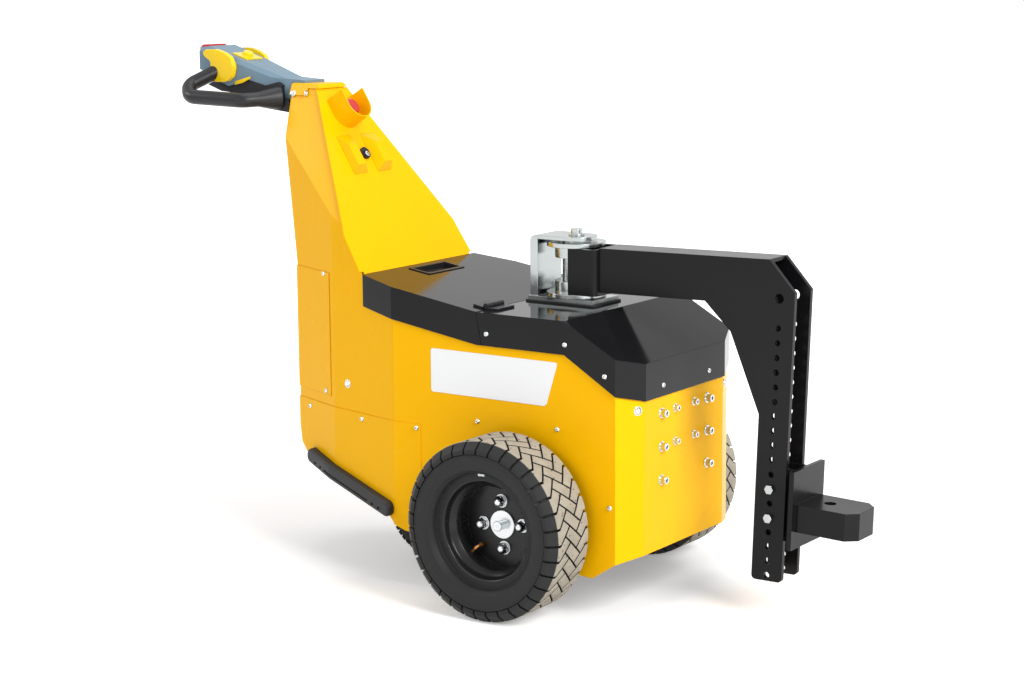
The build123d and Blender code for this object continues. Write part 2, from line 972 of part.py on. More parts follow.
def prism(face, sides, start, end, radius, mode=Mode.ADD):
    """Many-sided drum between two places along the axle, from its radius across flats."""
    with BuildSketch(face.offset(start)) as ring:
        RegularPolygon(radius, sides, major_radius=False, rotation=180 / sides)
    extrude(ring.sketch, amount=end - start, mode=mode)


def dish(face, sides, floor, brow, top, inner, outer):
    """Many-sided dish with a flat floor, a wall that slopes out to its brow, and straight sides."""
    with BuildPart() as hollow:
        prism(face, sides, floor, top, outer)
        bottom = hollow.faces().sort_by_distance(face.origin)[0]
        chamfer(bottom.edges(), outer - inner, abs(brow - floor), reference=bottom)
    return hollow.part


def cut_round(tool, axis, count, turn):
    """Cut a shape out of the part at even steps round an axis."""
    copies = [tool.rotate(axis, turn + step * 360 / count) for step in range(count)]
    add(copies, mode=Mode.SUBTRACT)


tyre_half = tyre_width / 2
flange_in = rim_width / 2 - rim_lip_width
rim_seat_in = rim_width / 2 - rim_seat_width
rim_seat_radius = rim_barrel_radius + rim_wall
disc_face_x = -wheel_disc_inset
rim_section = half_profile((
    (rim_well_half, rim_well_radius),
    (rim_seat_in, rim_barrel_radius),
    (rim_width / 2, rim_barrel_radius),
    (rim_width / 2, rim_radius),
    (flange_in, rim_radius),
    (flange_in, rim_seat_radius),
    (rim_seat_in - rim_wall, rim_seat_radius),
    (rim_well_half - rim_wall / 2, rim_well_radius + rim_wall),
))
bead_out = rim_width / 2 + fit_gap
bead_radius = rim_radius + fit_gap
bulge_out = tyre_half - sidewall_bulge_depth

for name, hand in hands:
    plane = wheel_plane(hand)
    axis = wheel_axis(hand)
    centre = (axle_x, hand * wheel_track / 2, tyre_radius)
    wheel_face = Plane(origin=centre, x_dir=(0, 0, -1), z_dir=(0, hand, 0))
    with BuildPart() as lug_groove:
        with BuildSketch(plane) as groove_side:
            with BuildLine():
                Polyline(
                    (tyre_half, tyre_radius - tyre_shoulder - lug_groove_depth),
                    (tyre_half - lug_groove_length, tyre_radius - lug_groove_depth),
                    (tyre_half - lug_groove_length, tyre_radius + lug_groove_depth),
                    (tyre_half, tyre_radius + lug_groove_depth), close=True,
                )
            make_face()
        extrude(groove_side.sketch, amount=lug_gap / 2, both=True)

    with BuildPart() as lug_groove_inboard:
        add(lug_groove.part)
        mirror(about=Plane.XZ.offset(-hand * wheel_track / 2), mode=Mode.REPLACE)

    hollows = []
    for way in (1, -1):
        top = way * (tyre_half + sidewall_bulge_depth)
        hollows += [
            dish(
                wheel_face, lug_count, way * bulge_out, way * tyre_half, top, sidewall_bulge_radius,
                sidewall_top_radius,
            ),
            dish(
                wheel_face, lug_count, way * bead_out, way * bulge_out, top, bead_radius,
                sidewall_bulge_radius,
            ),
        ]

    with BuildPart() as drive_tyre:
        prism(wheel_face, lug_count, -tyre_half, tyre_half, tyre_radius)
        chamfer(drive_tyre.faces().filter_by(Axis.Y).edges(), tyre_shoulder)
        cut_round(lug_groove.part, axis, lug_count, 0)
        cut_round(lug_groove_inboard.part, axis, lug_count, 180 / lug_count)
        bore = rim_seat_radius + fit_gap
        prism(wheel_face, lug_count, -tyre_half, tyre_half, bore, Mode.SUBTRACT)
        add(hollows, mode=Mode.SUBTRACT)
        for way in (1, -1):
            prism(
                wheel_face, lug_count, way * (flange_in - fit_gap), way * tyre_half, bead_radius,
                Mode.SUBTRACT,
            )
    save(drive_tyre, f"drive_tyre_{name}")

    face_plane = Plane(origin=plane.from_local_coords((disc_face_x, 0, 0)), z_dir=(0, hand, 0))
    with BuildPart() as drive_rim:
        turned(rim_section, plane, axis)
        with BuildSketch(face_plane) as disc:
            Circle(wheel_disc_radius)
            Circle(axle_radius + fit_gap, mode=Mode.SUBTRACT)
            with PolarLocations(stud_pitch_diameter / 2, stud_count):
                Circle(stud_radius + fit_gap, mode=Mode.SUBTRACT)
        extrude(disc.sketch, amount=-wheel_disc_thickness)
    save(drive_rim, f"drive_rim_{name}")

    inboard = wheel_track / 2 - side_half - axle_tube_end
    axle_start = Plane(origin=plane.from_local_coords((fit_gap - inboard, 0, 0)), z_dir=(0, hand, 0))
    cap_plane = face_plane.offset(hub_cap_thickness)
    with BuildPart() as wheel_hub:
        with BuildSketch(axle_start) as axle:
            Circle(axle_radius)
        extrude(axle.sketch, amount=inboard - fit_gap + disc_face_x)
        with BuildSketch(face_plane) as cap:
            Circle(hub_cap_radius)
        extrude(cap.sketch, amount=hub_cap_thickness)
        with BuildSketch(cap_plane) as axle_end:
            Circle(axle_end_radius)
        extrude(axle_end.sketch, amount=axle_end_length)
        with BuildSketch(cap_plane.offset(axle_end_length)) as slots:
            Rectangle(axle_end_radius * 2, axle_end_slot)
            Rectangle(axle_end_slot, axle_end_radius * 2)
        extrude(slots.sketch, amount=-axle_end_slot_depth, mode=Mode.SUBTRACT)
        with BuildSketch(face_plane.offset(-wheel_disc_thickness)) as seat:
            Circle(stud_pitch_diameter / 2 + nut_radius)
        extrude(seat.sketch, amount=-hub_flange_thickness)
        with BuildSketch(face_plane.offset(-wheel_disc_thickness)) as studs:
            with PolarLocations(stud_pitch_diameter / 2, stud_count):
                Circle(stud_radius)
        extrude(studs.sketch, amount=wheel_disc_thickness)
        with BuildSketch(face_plane) as nuts:
            with PolarLocations(stud_pitch_diameter / 2, stud_count):
                RegularPolygon(nut_radius, hex_sides)
        extrude(nuts.sketch, amount=nut_height)
        with BuildSketch(face_plane.offset(nut_height)) as domes:
            with PolarLocations(stud_pitch_diameter / 2, stud_count):
                RegularPolygon(nut_dome_radius, nut_dome_sides)
        extrude(domes.sketch, amount=nut_dome_height, taper=nut_dome_taper)
    save(wheel_hub, f"wheel_hub_{name}")

# Drive unit with its axle tubes
with BuildPart() as drive_unit:
    with Locations((axle_x, 0, tyre_radius)):
        Box(drive_length, drive_half * 2, drive_height)
        Cylinder(axle_tube_radius, (side_half + axle_tube_end) * 2, rotation=(90, 0, 0))
save(drive_unit, "drive_unit")

# Castor, trailing behind its swivel
castor_top_z = castor_radius * 2 + castor_crown_gap + castor_crown_thickness
castor_plate_z = castor_top_z + castor_bearing_height
tray_z = castor_plate_z + castor_plate_thickness
castor_axle_x = castor_pivot_x - castor_trail
castor_plane = Plane(origin=(ahead(castor_axle_x), 0, castor_radius), x_dir=(0, 1, 0), z_dir=(1, 0, 0))
castor_axis = Axis((ahead(castor_axle_x), 0, castor_radius), (0, 1, 0))
castor_half = castor_width / 2

castor_face = Plane(origin=castor_plane.origin, x_dir=(0, 0, -1), z_dir=(0, 1, 0))
with BuildPart() as castor_groove:
    box_between(
        ahead(castor_axle_x) - castor_lug_gap / 2, ahead(castor_axle_x) + castor_lug_gap / 2,
        -castor_half, castor_half, castor_radius * 2 - castor_lug_depth, castor_radius * 2 + castor_lug_depth,
    )

with BuildPart() as castor_tyre:
    prism(castor_face, castor_lug_count, -castor_half, castor_half, castor_radius)
    chamfer(castor_tyre.faces().filter_by(Axis.Y).edges(), castor_shoulder)
    cut_round(castor_groove.part, castor_axis, castor_lug_count, 0)
    prism(
        castor_face, castor_lug_count, -castor_half, castor_half, castor_rim_radius + fit_gap, Mode.SUBTRACT,
    )
save(castor_tyre, "castor_tyre")

with BuildPart() as castor_rim:
    turned(half_profile((
        (castor_hub_half, castor_axle_radius + fit_gap),
        (castor_hub_half, castor_hub_radius),
        (castor_half * castor_web_share, castor_hub_radius),
        (castor_half * castor_web_share, castor_rim_radius - rim_wall),
        (castor_half, castor_rim_radius - rim_wall),
        (castor_half, castor_rim_radius),
    )), castor_plane, castor_axis)
save(castor_rim, "castor_rim")

leg_inner = castor_hub_half + castor_leg_gap
leg_outer = leg_inner + castor_leg_thickness
crown_z = castor_top_z - castor_crown_thickness
with BuildPart() as castor_fork:
    with BuildSketch(Plane.XZ.offset(leg_inner)) as cheek:
        with BuildLine():
            Polyline(
                (ahead(castor_axle_x - castor_leg_width / 2), castor_radius),
                (ahead(castor_pivot_x - castor_leg_width), crown_z),
                (ahead(castor_pivot_x + castor_leg_width), crown_z),
                (ahead(castor_axle_x + castor_leg_width / 2), castor_radius),
                close=True,
            )
        make_face()
        with Locations((ahead(castor_axle_x), castor_radius)):
            Circle(castor_leg_width / 2)
    extrude(cheek.sketch, amount=castor_leg_thickness)
    mirror(about=Plane.XZ)
    box_between(
        ahead(castor_pivot_x - castor_leg_width), ahead(castor_pivot_x + castor_leg_width),
        -leg_outer, leg_outer, crown_z, castor_top_z,
    )
    with Locations((ahead(castor_pivot_x), 0, castor_top_z)):
        Cylinder(
            castor_bearing_radius, castor_bearing_height - fit_gap,
            align=(Align.CENTER, Align.CENTER, Align.MIN),
        )
    with Locations((ahead(castor_axle_x), 0, castor_radius)):
        Cylinder(castor_axle_radius, (leg_outer + castor_axle_head) * 2, rotation=(90, 0, 0))
save(castor_fork, "castor_fork")

with BuildPart() as castor_plate:
    box_between(
        ahead(castor_pivot_x - castor_plate_half), ahead(castor_pivot_x + castor_plate_half),
        -castor_plate_half, castor_plate_half, castor_plate_z, tray_z,
    )
save(castor_plate, "castor_plate")

# Tray, battery, rails, bulkhead and pivot post
inner_half = side_half - sheet
tray_points = (
    (ahead(tray_front_x), inner_half - fit_gap),
    (ahead(flare_x), inner_half - fit_gap),
    (ahead(bend_x), bend_half - sheet - fit_gap * 2),
    (ahead(tray_rear_x), along(bend_half, back_half, (tray_rear_x - bend_x) / (back_x - bend_x)) - sheet * 2),
)
with BuildPart() as battery_tray:
    with BuildSketch(Plane.XY.offset(tray_z)) as tray_plan:
        with BuildLine():
            Polyline(*tray_points, *[(x, -y) for x, y in reversed(tray_points)], close=True)
        make_face()
    extrude(tray_plan.sketch, amount=tray_thickness)
save(battery_tray, "battery_tray")

battery_half = inner_half - battery_side_gap
with BuildPart() as battery:
    box_between(
        ahead(tray_front_x - battery_length), ahead(tray_front_x), -battery_half, battery_half,
        tray_z + tray_thickness, tray_z + tray_thickness + battery_height,
    )
save(battery, "battery")

bulkhead_x = front_x - sheet - fit_gap
rail_outer = inner_half - rail_gap
for name, hand in hands:
    with BuildPart() as rail:
        box_between(
            ahead(rail_rear_x), ahead(chamfer_x - overrun),
            hand * rail_outer, hand * (rail_outer - rail_thickness),
            rail_low_z, rail_low_z + rail_height,
        )
        with Locations((axle_x, hand * rail_outer, tyre_radius)):
            Cylinder(axle_tube_radius + fit_gap, overrun, rotation=(90, 0, 0), mode=Mode.SUBTRACT)
    save(rail, f"frame_rail_{name}")

with BuildPart() as bulkhead:
    box_between(
        ahead(bulkhead_x - bulkhead_thickness), ahead(bulkhead_x), -bulkhead_half, bulkhead_half,
        bulkhead_low_z, bulkhead_low_z + bulkhead_height,
    )
    for name, hand in hands:
        box_between(
            ahead(chamfer_x - overrun), ahead(bulkhead_x - bulkhead_thickness),
            hand * bulkhead_half, hand * (bulkhead_half - rail_thickness),
            rail_low_z + bulkhead_thickness, rail_low_z + rail_height,
        )
        box_between(
            ahead(chamfer_x - overrun), ahead(chamfer_x - overrun - rail_thickness),
            hand * (bulkhead_half - rail_thickness), hand * (rail_outer - rail_thickness),
            rail_low_z + bulkhead_thickness, rail_low_z + rail_height,
        )
save(bulkhead, "bulkhead")

drive_top_z = tyre_radius + drive_height / 2
pivot_base_z = hood_z + hood_gap
with BuildPart() as pivot_post:
    box_between(
        ahead(pivot_x) - post_half, ahead(pivot_x) + post_half,
        -(rail_outer - rail_thickness), rail_outer - rail_thickness,
        drive_top_z, drive_top_z + post_base_height,
    )
    box_between(
        ahead(pivot_x) - post_half, ahead(pivot_x) + post_half, -post_half, post_half,
        drive_top_z + post_base_height, pivot_base_z,
    )
save(pivot_post, "pivot_post")

# Swivel bracket: base, back and top in one welded piece
pivot_base_top = pivot_base_z + pivot_base_thickness
flange_low_z = pivot_base_top + pivot_turn_gap
neck_low_z = flange_low_z + flange_thickness
neck_top_z = neck_low_z + neck_height
pivot_top_z = neck_top_z + flange_thickness + pivot_top_gap
with BuildPart() as pivot_bracket:
    box_between(
        ahead(pivot_x - pivot_base_rear), ahead(pivot_x + pivot_base_front),
        -pivot_base_half, pivot_base_half, pivot_base_z, pivot_base_top,
    )
    box_between(
        ahead(pivot_x - pivot_back_rear), ahead(pivot_x - pivot_back_rear + pivot_back_thickness),
        -pivot_top_half, pivot_top_half, pivot_base_top, pivot_top_z + pivot_top_thickness,
    )
    back_edges = pivot_bracket.edges().filter_by(Axis.Y).group_by(Axis.Z)[-1].sort_by(Axis.X)
    fillet(back_edges[0], pivot_bend_radius)
    with BuildSketch(Plane.XY.offset(pivot_top_z)) as top_plate:
        with Locations((ahead(pivot_x), 0)):
            Circle(pivot_top_half)
        with Locations((ahead(pivot_x - (pivot_back_rear - pivot_back_thickness) / 2), 0)):
            Rectangle(pivot_back_rear - pivot_back_thickness, pivot_top_half * 2)
    extrude(top_plate.sketch, amount=pivot_top_thickness)
save(pivot_bracket, "pivot_bracket")

with BuildPart() as kingpin:
    with Locations((ahead(pivot_x), 0, pivot_base_top)):
        Cylinder(kingpin_radius, pivot_top_z - pivot_base_top, align=(Align.CENTER, Align.CENTER, Align.MIN))
    with Locations((ahead(pivot_x), 0, pivot_top_z + pivot_top_thickness)):
        Cylinder(
            kingpin_washer_radius, kingpin_washer_thickness, align=(Align.CENTER, Align.CENTER, Align.MIN)
        )
        Cylinder(kingpin_nut_radius, kingpin_nut_height, align=(Align.CENTER, Align.CENTER, Align.MIN))
save(kingpin, "kingpin")

# Rubber edging round the bracket's base
with BuildPart() as pivot_edging:
    with BuildSketch(Plane.XY.offset(hood_z)) as edging:
        with Locations((ahead(pivot_x + (pivot_base_front - pivot_base_rear) / 2), 0)):
            Rectangle(pivot_base_rear + pivot_base_front + fit_gap * 2, (pivot_base_half + fit_gap) * 2)
        offset(amount=pad_width, kind=Kind.ARC)
        with Locations((ahead(pivot_x + (pivot_base_front - pivot_base_rear) / 2), 0)):
            Rectangle(
                pivot_base_rear + pivot_base_front + fit_gap * 2, (pivot_base_half + fit_gap) * 2,
                mode=Mode.SUBTRACT,
            )
    extrude(edging.sketch, amount=pad_thickness)
save(pivot_edging, "pivot_edging")

# Arm root: flanges with rings, and the neck that joins them to the arm
for name, flange_z, ring_way in (("lower", flange_low_z, 1), ("upper", neck_top_z, -1)):
    with BuildPart() as hub_flange:
        with BuildSketch(Plane.XY.offset(flange_z)) as disc:
            with Locations((ahead(pivot_x), 0)):
                Circle(flange_radius)
                Circle(kingpin_radius + fit_gap, mode=Mode.SUBTRACT)
        extrude(disc.sketch, amount=flange_thickness)
        with BuildSketch(Plane.XY.offset(flange_z + (flange_thickness if ring_way > 0 else 0))) as ring:
            with Locations((ahead(pivot_x), 0)):
                Circle(ring_radius - fit_gap)
                Circle(kingpin_radius + fit_gap, mode=Mode.SUBTRACT)
        extrude(ring.sketch, amount=ring_way * ring_height)
    save(hub_flange, f"hub_flange_{name}")

with BuildPart() as arm_neck:
    with BuildSketch(Plane.XY.offset(neck_low_z)) as neck_plan:
        with Locations((ahead(pivot_x + neck_start), 0)):
            Rectangle(neck_end - neck_start, neck_half * 2, align=(Align.MIN, Align.CENTER))
        fillet(neck_plan.vertices().group_by(Axis.X)[-1], neck_corner)
        with Locations((ahead(pivot_x), 0)):
            Rectangle(
                neck_end - neck_wall, (neck_half - neck_wall) * 2, align=(Align.MIN, Align.CENTER),
                mode=Mode.SUBTRACT,
            )
    extrude(neck_plan.sketch, amount=neck_height)
save(arm_neck, "arm_neck")

# Tow arm plates
arm_root_x = pivot_x + neck_end
beam_rise = tan(radians(beam_rise_angle))


def beam_line_z(x):
    """Height of the beam's top edge at a distance ahead of the axle."""
    return beam_top_z + beam_rise * (x - arm_root_x)


arm_points = (
    (arm_root_x, beam_line_z(arm_root_x)),
    (arm_cut_x, beam_line_z(arm_cut_x)),
    (leg_line_x(arm_cut_z) + leg_width / 2, arm_cut_z),
    (leg_x + leg_width / 2, leg_bottom_z),
    (leg_x - leg_width / 2, leg_bottom_z),
    (leg_line_x(knee_low_z) - leg_width / 2, knee_low_z),
    (knee_x, knee_z),
    (knee_top_x, beam_line_z(knee_top_x) - beam_height),
    (arm_root_x, beam_line_z(arm_root_x) - beam_height),
)
for name, hand in hands:
    with BuildPart() as arm_side:
        with BuildSketch(Plane.XZ.offset(-hand * arm_half)) as side:
            with BuildLine():
                Polyline(*[(ahead(x), z) for x, z in arm_points], close=True)
            make_face()
            fillet(side.vertices().group_by(Axis.Y)[0], leg_corner_radius)
            for row in range(arm_hole_count):
                hole_z = arm_hole_low_z + row * arm_hole_pitch
                with Locations((ahead(leg_line_x(hole_z)), hole_z)):
                    Circle(arm_hole_radius, mode=Mode.SUBTRACT)
            with Locations((ahead(leg_line_x(arm_big_hole_z)), arm_big_hole_z)):
                Circle(arm_big_hole_radius, mode=Mode.SUBTRACT)
        extrude(side.sketch, amount=hand * arm_plate)
    save(arm_side, f"arm_plate_{name}")

box_points = (
    arm_points[0],
    arm_points[1],
    (arm_cut_x, beam_line_z(arm_cut_x) - beam_skin),
    (arm_root_x + beam_skin, beam_line_z(arm_root_x + beam_skin) - beam_skin),
    (arm_root_x + beam_skin, beam_line_z(arm_root_x + beam_skin) - beam_height + beam_skin),
    (knee_top_x + beam_skin / 2, beam_line_z(knee_top_x) - beam_height + beam_skin),
    (knee_x + beam_skin, knee_z + beam_skin / 2),
    (leg_line_x(knee_low_z) - leg_width / 2 + beam_skin, knee_low_z),
    arm_points[5],
    arm_points[6],
    arm_points[7],
    arm_points[8],
)
box_half = arm_half - arm_plate
with BuildPart() as arm_box:
    with BuildSketch(Plane.XZ) as wrap:
        with BuildLine():
            Polyline(*[(ahead(x), z) for x, z in box_points], close=True)
        make_face()
    extrude(wrap.sketch, amount=box_half, both=True)
save(arm_box, "arm_box")

# Hitch: channel between the plates, face plate and tongue, square to the leg
hitch_plane = Plane(
    origin=(ahead(leg_line_x(hitch_z)), 0, hitch_z),
    x_dir=(cos(radians(leg_lean_angle)), 0, -sin(radians(leg_lean_angle))),
    z_dir=(0, -1, 0),
)
plate_back_x = leg_width / 2 + hitch_plate_gap


def hitch_block(start, end, low, high, half_low, half_high, mode=Mode.ADD):
    """Block in the hitch's own directions: along the tongue, up the leg and across."""
    with BuildSketch(hitch_plane.offset(-half_high)) as section:
        with Locations(((start + end) / 2, (low + high) / 2)):
            Rectangle(end - start, high - low)
    extrude(section.sketch, amount=half_high - half_low, mode=mode)


tongue_root = plate_back_x + hitch_plate_thickness
tongue_low = hitch_plane.from_local_coords((0, -tongue_drop - tongue_height / 2, 0))
tongue_plane = Plane(origin=tongue_low, x_dir=hitch_plane.x_dir, z_dir=hitch_plane.y_dir)
with BuildPart() as tow_hitch:
    hitch_block(
        plate_back_x, plate_back_x + hitch_plate_thickness, -hitch_plate_height / 2, hitch_plate_height / 2,
        -hitch_plate_half, hitch_plate_half,
    )
    for name, hand in hands:
        inner = hand * (box_half - fit_gap - channel_wall)
        outer = hand * (box_half - fit_gap)
        hitch_block(
            -channel_back, plate_back_x, -channel_height / 2, channel_height / 2,
            min(inner, outer), max(inner, outer),
        )
    with BuildSketch(tongue_plane) as tongue:
        with BuildLine():
            Polyline(
                (tongue_root, -tongue_half), (tongue_reach - tongue_corner, -tongue_half),
                (tongue_reach, -tongue_half + tongue_corner), (tongue_reach, tongue_half - tongue_corner),
                (tongue_reach - tongue_corner, tongue_half), (tongue_root, tongue_half), close=True,
            )
        make_face()
        with Locations((tongue_reach - tongue_hole_inset, 0)):
            Circle(tongue_hole_radius, mode=Mode.SUBTRACT)
    extrude(tongue.sketch, amount=tongue_height)
    for row in range(bolt_rows):
        hole_z = arm_hole_low_z + (bolt_low_row + row * bolt_row_step) * arm_hole_pitch
        with Locations((ahead(leg_line_x(hole_z)), 0, hole_z)):
            Cylinder(bolt_radius + fit_gap, arm_half * 2, rotation=(90, 0, 0), mode=Mode.SUBTRACT)
save(tow_hitch, "tow_hitch")

with BuildPart() as hitch_bolts:
    for row in range(bolt_rows):
        hole_z = arm_hole_low_z + (bolt_low_row + row * bolt_row_step) * arm_hole_pitch
        with Locations((ahead(leg_line_x(hole_z)), 0, hole_z)):
            Cylinder(bolt_radius, arm_half * 2, rotation=(90, 0, 0))
        for name, hand in hands:
            with BuildSketch(Plane.XZ.offset(-hand * arm_half)) as head:
                with Locations((ahead(leg_line_x(hole_z)), hole_z)):
                    RegularPolygon(bolt_head_radius, hex_sides)
            extrude(head.sketch, amount=-hand * bolt_head_height)
save(hitch_bolts, "hitch_bolts")


def bumper_band(front, rear, low, high, corner):
    """Side-view band between two heights over the bumpers' sloping lower line, its corners rounded."""
    slope = (bumper_rear_z - bumper_front_z) / (bumper_front_x - bumper_rear_x)
    with BuildSketch(Plane.XZ) as band:
        with BuildLine():
            Polyline(
                *[
                    (ahead(x), bumper_front_z + slope * (bumper_front_x - x) + rise)
                    for x, rise in ((front, low), (front, high), (rear, high), (rear, low))
                ],
                close=True,
            )
        make_face()
        fillet(band.vertices(), corner)
    return band.sketch


def bumper_face(x, hand):
    """Plane on a bumper's outer face at a distance ahead of the axle, at the height of its groove."""
    slope = (bumper_rear_z - bumper_front_z) / (bumper_front_x - bumper_rear_x)
    start, end = ((flare_x, side_half), (bend_x, bend_half))
    if x < bend_x:
        start, end = ((bend_x, bend_half), (back_x, back_half))
    narrowing = (start[1] - end[1]) / (start[0] - end[0])
    half = start[1] - narrowing * (start[0] - x) + bumper_depth * (1 + narrowing ** 2) ** 0.5
    height = bumper_front_z + slope * (bumper_front_x - x) + bumper_height - bumper_groove_drop
    return Plane(origin=(ahead(x), hand * half, height), z_dir=(-narrowing, hand, 0))


# Bumpers
with BuildPart() as bumper_core:
    cover_over(cover_sheet + fit_gap * 2, cover_profile(cover_sheet + fit_gap * 2))

groove_low = bumper_height - bumper_groove_drop - bumper_groove_height / 2
with BuildPart() as bumper_middle:
    plan_extrusion(bumper_depth - bumper_groove_depth, 0, rear_round_z + overrun)

with BuildPart() as bumper_groove:
    plan_extrusion(bumper_depth + overrun, 0, rear_round_z + overrun)
    groove_band = bumper_band(
        bumper_front_x - bumper_groove_inset, bumper_rear_x + bumper_groove_inset,
        groove_low, groove_low + bumper_groove_height, bumper_groove_height / 3,
    )
    extrude(groove_band, amount=cut_width, both=True, mode=Mode.INTERSECT)
    add(bumper_middle.part, mode=Mode.SUBTRACT)

for name, hand in hands:
    with BuildPart() as bumper:
        plan_extrusion(bumper_depth, 0, rear_round_z + overrun)
        band = bumper_band(bumper_front_x, bumper_rear_x, 0, bumper_height, bumper_end_radius)
        extrude(band, amount=cut_width, both=True, mode=Mode.INTERSECT)
        side_of(hand)
        outer_faces = bumper.faces().filter_by(Plane.XY, reverse=True).sort_by(Axis.Y, reverse=hand > 0)[:2]
        front_edges, rear_edges = (face.edges() for face in outer_faces)
        fillet((front_edges - rear_edges) + (rear_edges - front_edges), bumper_edge_radius)
        add(bumper_groove.part, mode=Mode.SUBTRACT)
        for first, way in ((bumper_front_x - bumper_hole_inset, -1), (bumper_rear_x + bumper_hole_inset, 1)):
            for step in range(bumper_hole_count):
                with BuildSketch(bumper_face(first + way * step * bumper_hole_pitch, hand)) as hole:
                    Circle(bumper_hole_radius)
                extrude(hole.sketch, amount=-bumper_groove_depth * 2, mode=Mode.SUBTRACT)
        add(bumper_core.part, mode=Mode.SUBTRACT)
    save(bumper, f"bumper_{name}")

with BuildPart() as bumper_back:
    box_between(
        ahead(bumper_back_x), ahead(rear_edge_x), -bumper_back_half, bumper_back_half,
        bumper_back_z, bumper_back_z + bumper_height,
    )
    fillet(bumper_back.edges().filter_by(Axis.Y).group_by(Axis.X)[0], bumper_edge_radius)
    add(bumper_core.part, mode=Mode.SUBTRACT)
save(bumper_back, "bumper_back")

# Handle: head, safety button on its tip, fairing, grip loops, thumb levers and lift rocker
head_seat_x = cap_rear_x + head_seat
head_neck_x = head_root_x - head_neck_back
head_peak_x = head_root_x - head_peak_back
head_wide_x = head_root_x - head_wide_back
button_x = button_length - reach_rear
head_base_z = cap_z + head_top_gap


def along_head(shares, low, high):
    """Side-view points from shares of the handle's length and of the height between two levels."""
    return [(ahead(head_root_x - head_length * back), along(low, high, up)) for back, up in shares]


under_points = along_head(under_shares, head_low_z, head_peak_z)
with BuildPart() as handle_head:
    with BuildSketch(Plane.XZ) as head_side:
        with BuildLine():
            Polyline(
                (ahead(head_seat_x), head_base_z),
                (ahead(head_seat_x), head_base_z + head_nose_height),
                (ahead(head_neck_x), head_neck_z),
                (ahead(head_peak_x), head_peak_z),
                (ahead(button_x), head_tip_z),
                *under_points,
                (ahead(head_root_x), head_base_z),
                close=True,
            )
        make_face()
    extrude(head_side.sketch, amount=head_tip_half, both=True)
    with BuildSketch(Plane.XY.offset(head_low_z - overrun)) as head_plan:
        with BuildLine():
            right = (
                (ahead(head_seat_x), head_root_half), (ahead(head_root_x), head_root_half),
                (ahead(head_wide_x), head_tip_half), (ahead(button_x), head_tip_half),
            )
            Polyline(*right, *[(x, -y) for x, y in reversed(right)], close=True)
        make_face()
    extrude(head_plan.sketch, amount=cap_z, mode=Mode.INTERSECT)
    top_edges = handle_head.edges().filter_by(
        lambda edge: edge.center().Z > head_neck_z + head_edge_radius
        and abs(edge.center().Y) > head_root_half
        and edge.center().X > ahead(button_x) + fit_gap
    )
    chamfer(top_edges.sort_by(Axis.Z)[-head_edge_count:], head_edge_radius)
save(handle_head, "handle_head")

with BuildPart() as safety_button:
    with BuildSketch(Plane.XY.offset(button_low_z)) as button_plan:
        with BuildLine():
            Line((ahead(button_x) - fit_gap, -button_half), (ahead(button_x) - fit_gap, button_half))
            ThreePointArc(
                (ahead(button_x) - fit_gap, button_half), (ahead(-reach_rear), 0),
                (ahead(button_x) - fit_gap, -button_half),
            )
        make_face()
    extrude(button_plan.sketch, amount=button_high_z - button_low_z)
    chamfer(safety_button.edges().filter_by(GeomType.CIRCLE), button_edge)
save(safety_button, "safety_button")

with BuildPart() as handle_fairing:
    with BuildSketch(Plane.XZ) as fairing_side:
        with BuildLine():
            Polyline(
                *under_points[1:],
                (ahead(head_root_x), fairing_low_z),
                *reversed(along_head(fairing_shares, fairing_low_z, head_peak_z)),
                close=True,
            )
        make_face()
    extrude(fairing_side.sketch, amount=fairing_half, both=True)
save(handle_fairing, "handle_fairing")

loop_points = [
    (ahead(head_root_x - head_length * back), -loop_half * out, loop_base_z + loop_rise * up)
    for back, out, up in loop_shares
]


def loop_tube(radius):
    """Tube of the right grip loop."""
    with BuildLine() as loop_path:
        FilletPolyline(*loop_points, radius=loop_corner)
    with BuildSketch(Plane(origin=loop_path.line @ 0, z_dir=loop_path.line % 0)) as tube:
        Circle(radius)
    sweep(tube.sketch, path=loop_path.line)


with BuildPart() as handle_loop_right:
    loop_tube(loop_radius)
    run = Vector(*loop_points[1]) - Vector(*loop_points[0])
    across_run = run.cross(Vector(0, 0, 1))
    root_end = Vector(*loop_points[0]) + run * loop_root_share
    with BuildSketch(Plane(origin=loop_points[0], x_dir=across_run, z_dir=run)) as loop_root:
        Ellipse(loop_root_width, loop_root_height)
    with BuildSketch(Plane(origin=root_end, x_dir=across_run, z_dir=run)) as loop_neck:
        Circle(loop_radius)
    loft([loop_root.sketch, loop_neck.sketch])
    add(handle_fairing.part, mode=Mode.SUBTRACT)
    add(handle_head.part, mode=Mode.SUBTRACT)
save(handle_loop_right, "handle_loop_right")

with BuildPart() as handle_loop_left:
    add(handle_loop_right.part)
    mirror(about=Plane.XZ, mode=Mode.REPLACE)
save(handle_loop_left, "handle_loop_left")

grip_start, grip_end = Vector(*loop_points[-2]), Vector(*loop_points[-1])
with BuildPart() as loop_clearance:
    with BuildSketch(Plane(origin=grip_start, z_dir=grip_end - grip_start)) as grip_bore:
        Circle(loop_radius + fit_gap)
    extrude(grip_bore.sketch, amount=(grip_end - grip_start).length * 2)

with BuildPart() as lever_right:
    with BuildSketch(Plane.XZ.offset(head_tip_half + fit_gap)) as lever_side:
        with BuildLine():
            Polyline(*along_head(lever_shares, head_low_z, head_peak_z), close=True)
        make_face()
        fillet(lever_side.vertices(), lever_corner)
    extrude(lever_side.sketch, amount=lever_thickness)
    add(loop_clearance.part, mode=Mode.SUBTRACT)

with BuildPart() as thumb_levers:
    add(lever_right.part)
    mirror(about=Plane.XZ)
save(thumb_levers, "thumb_levers")

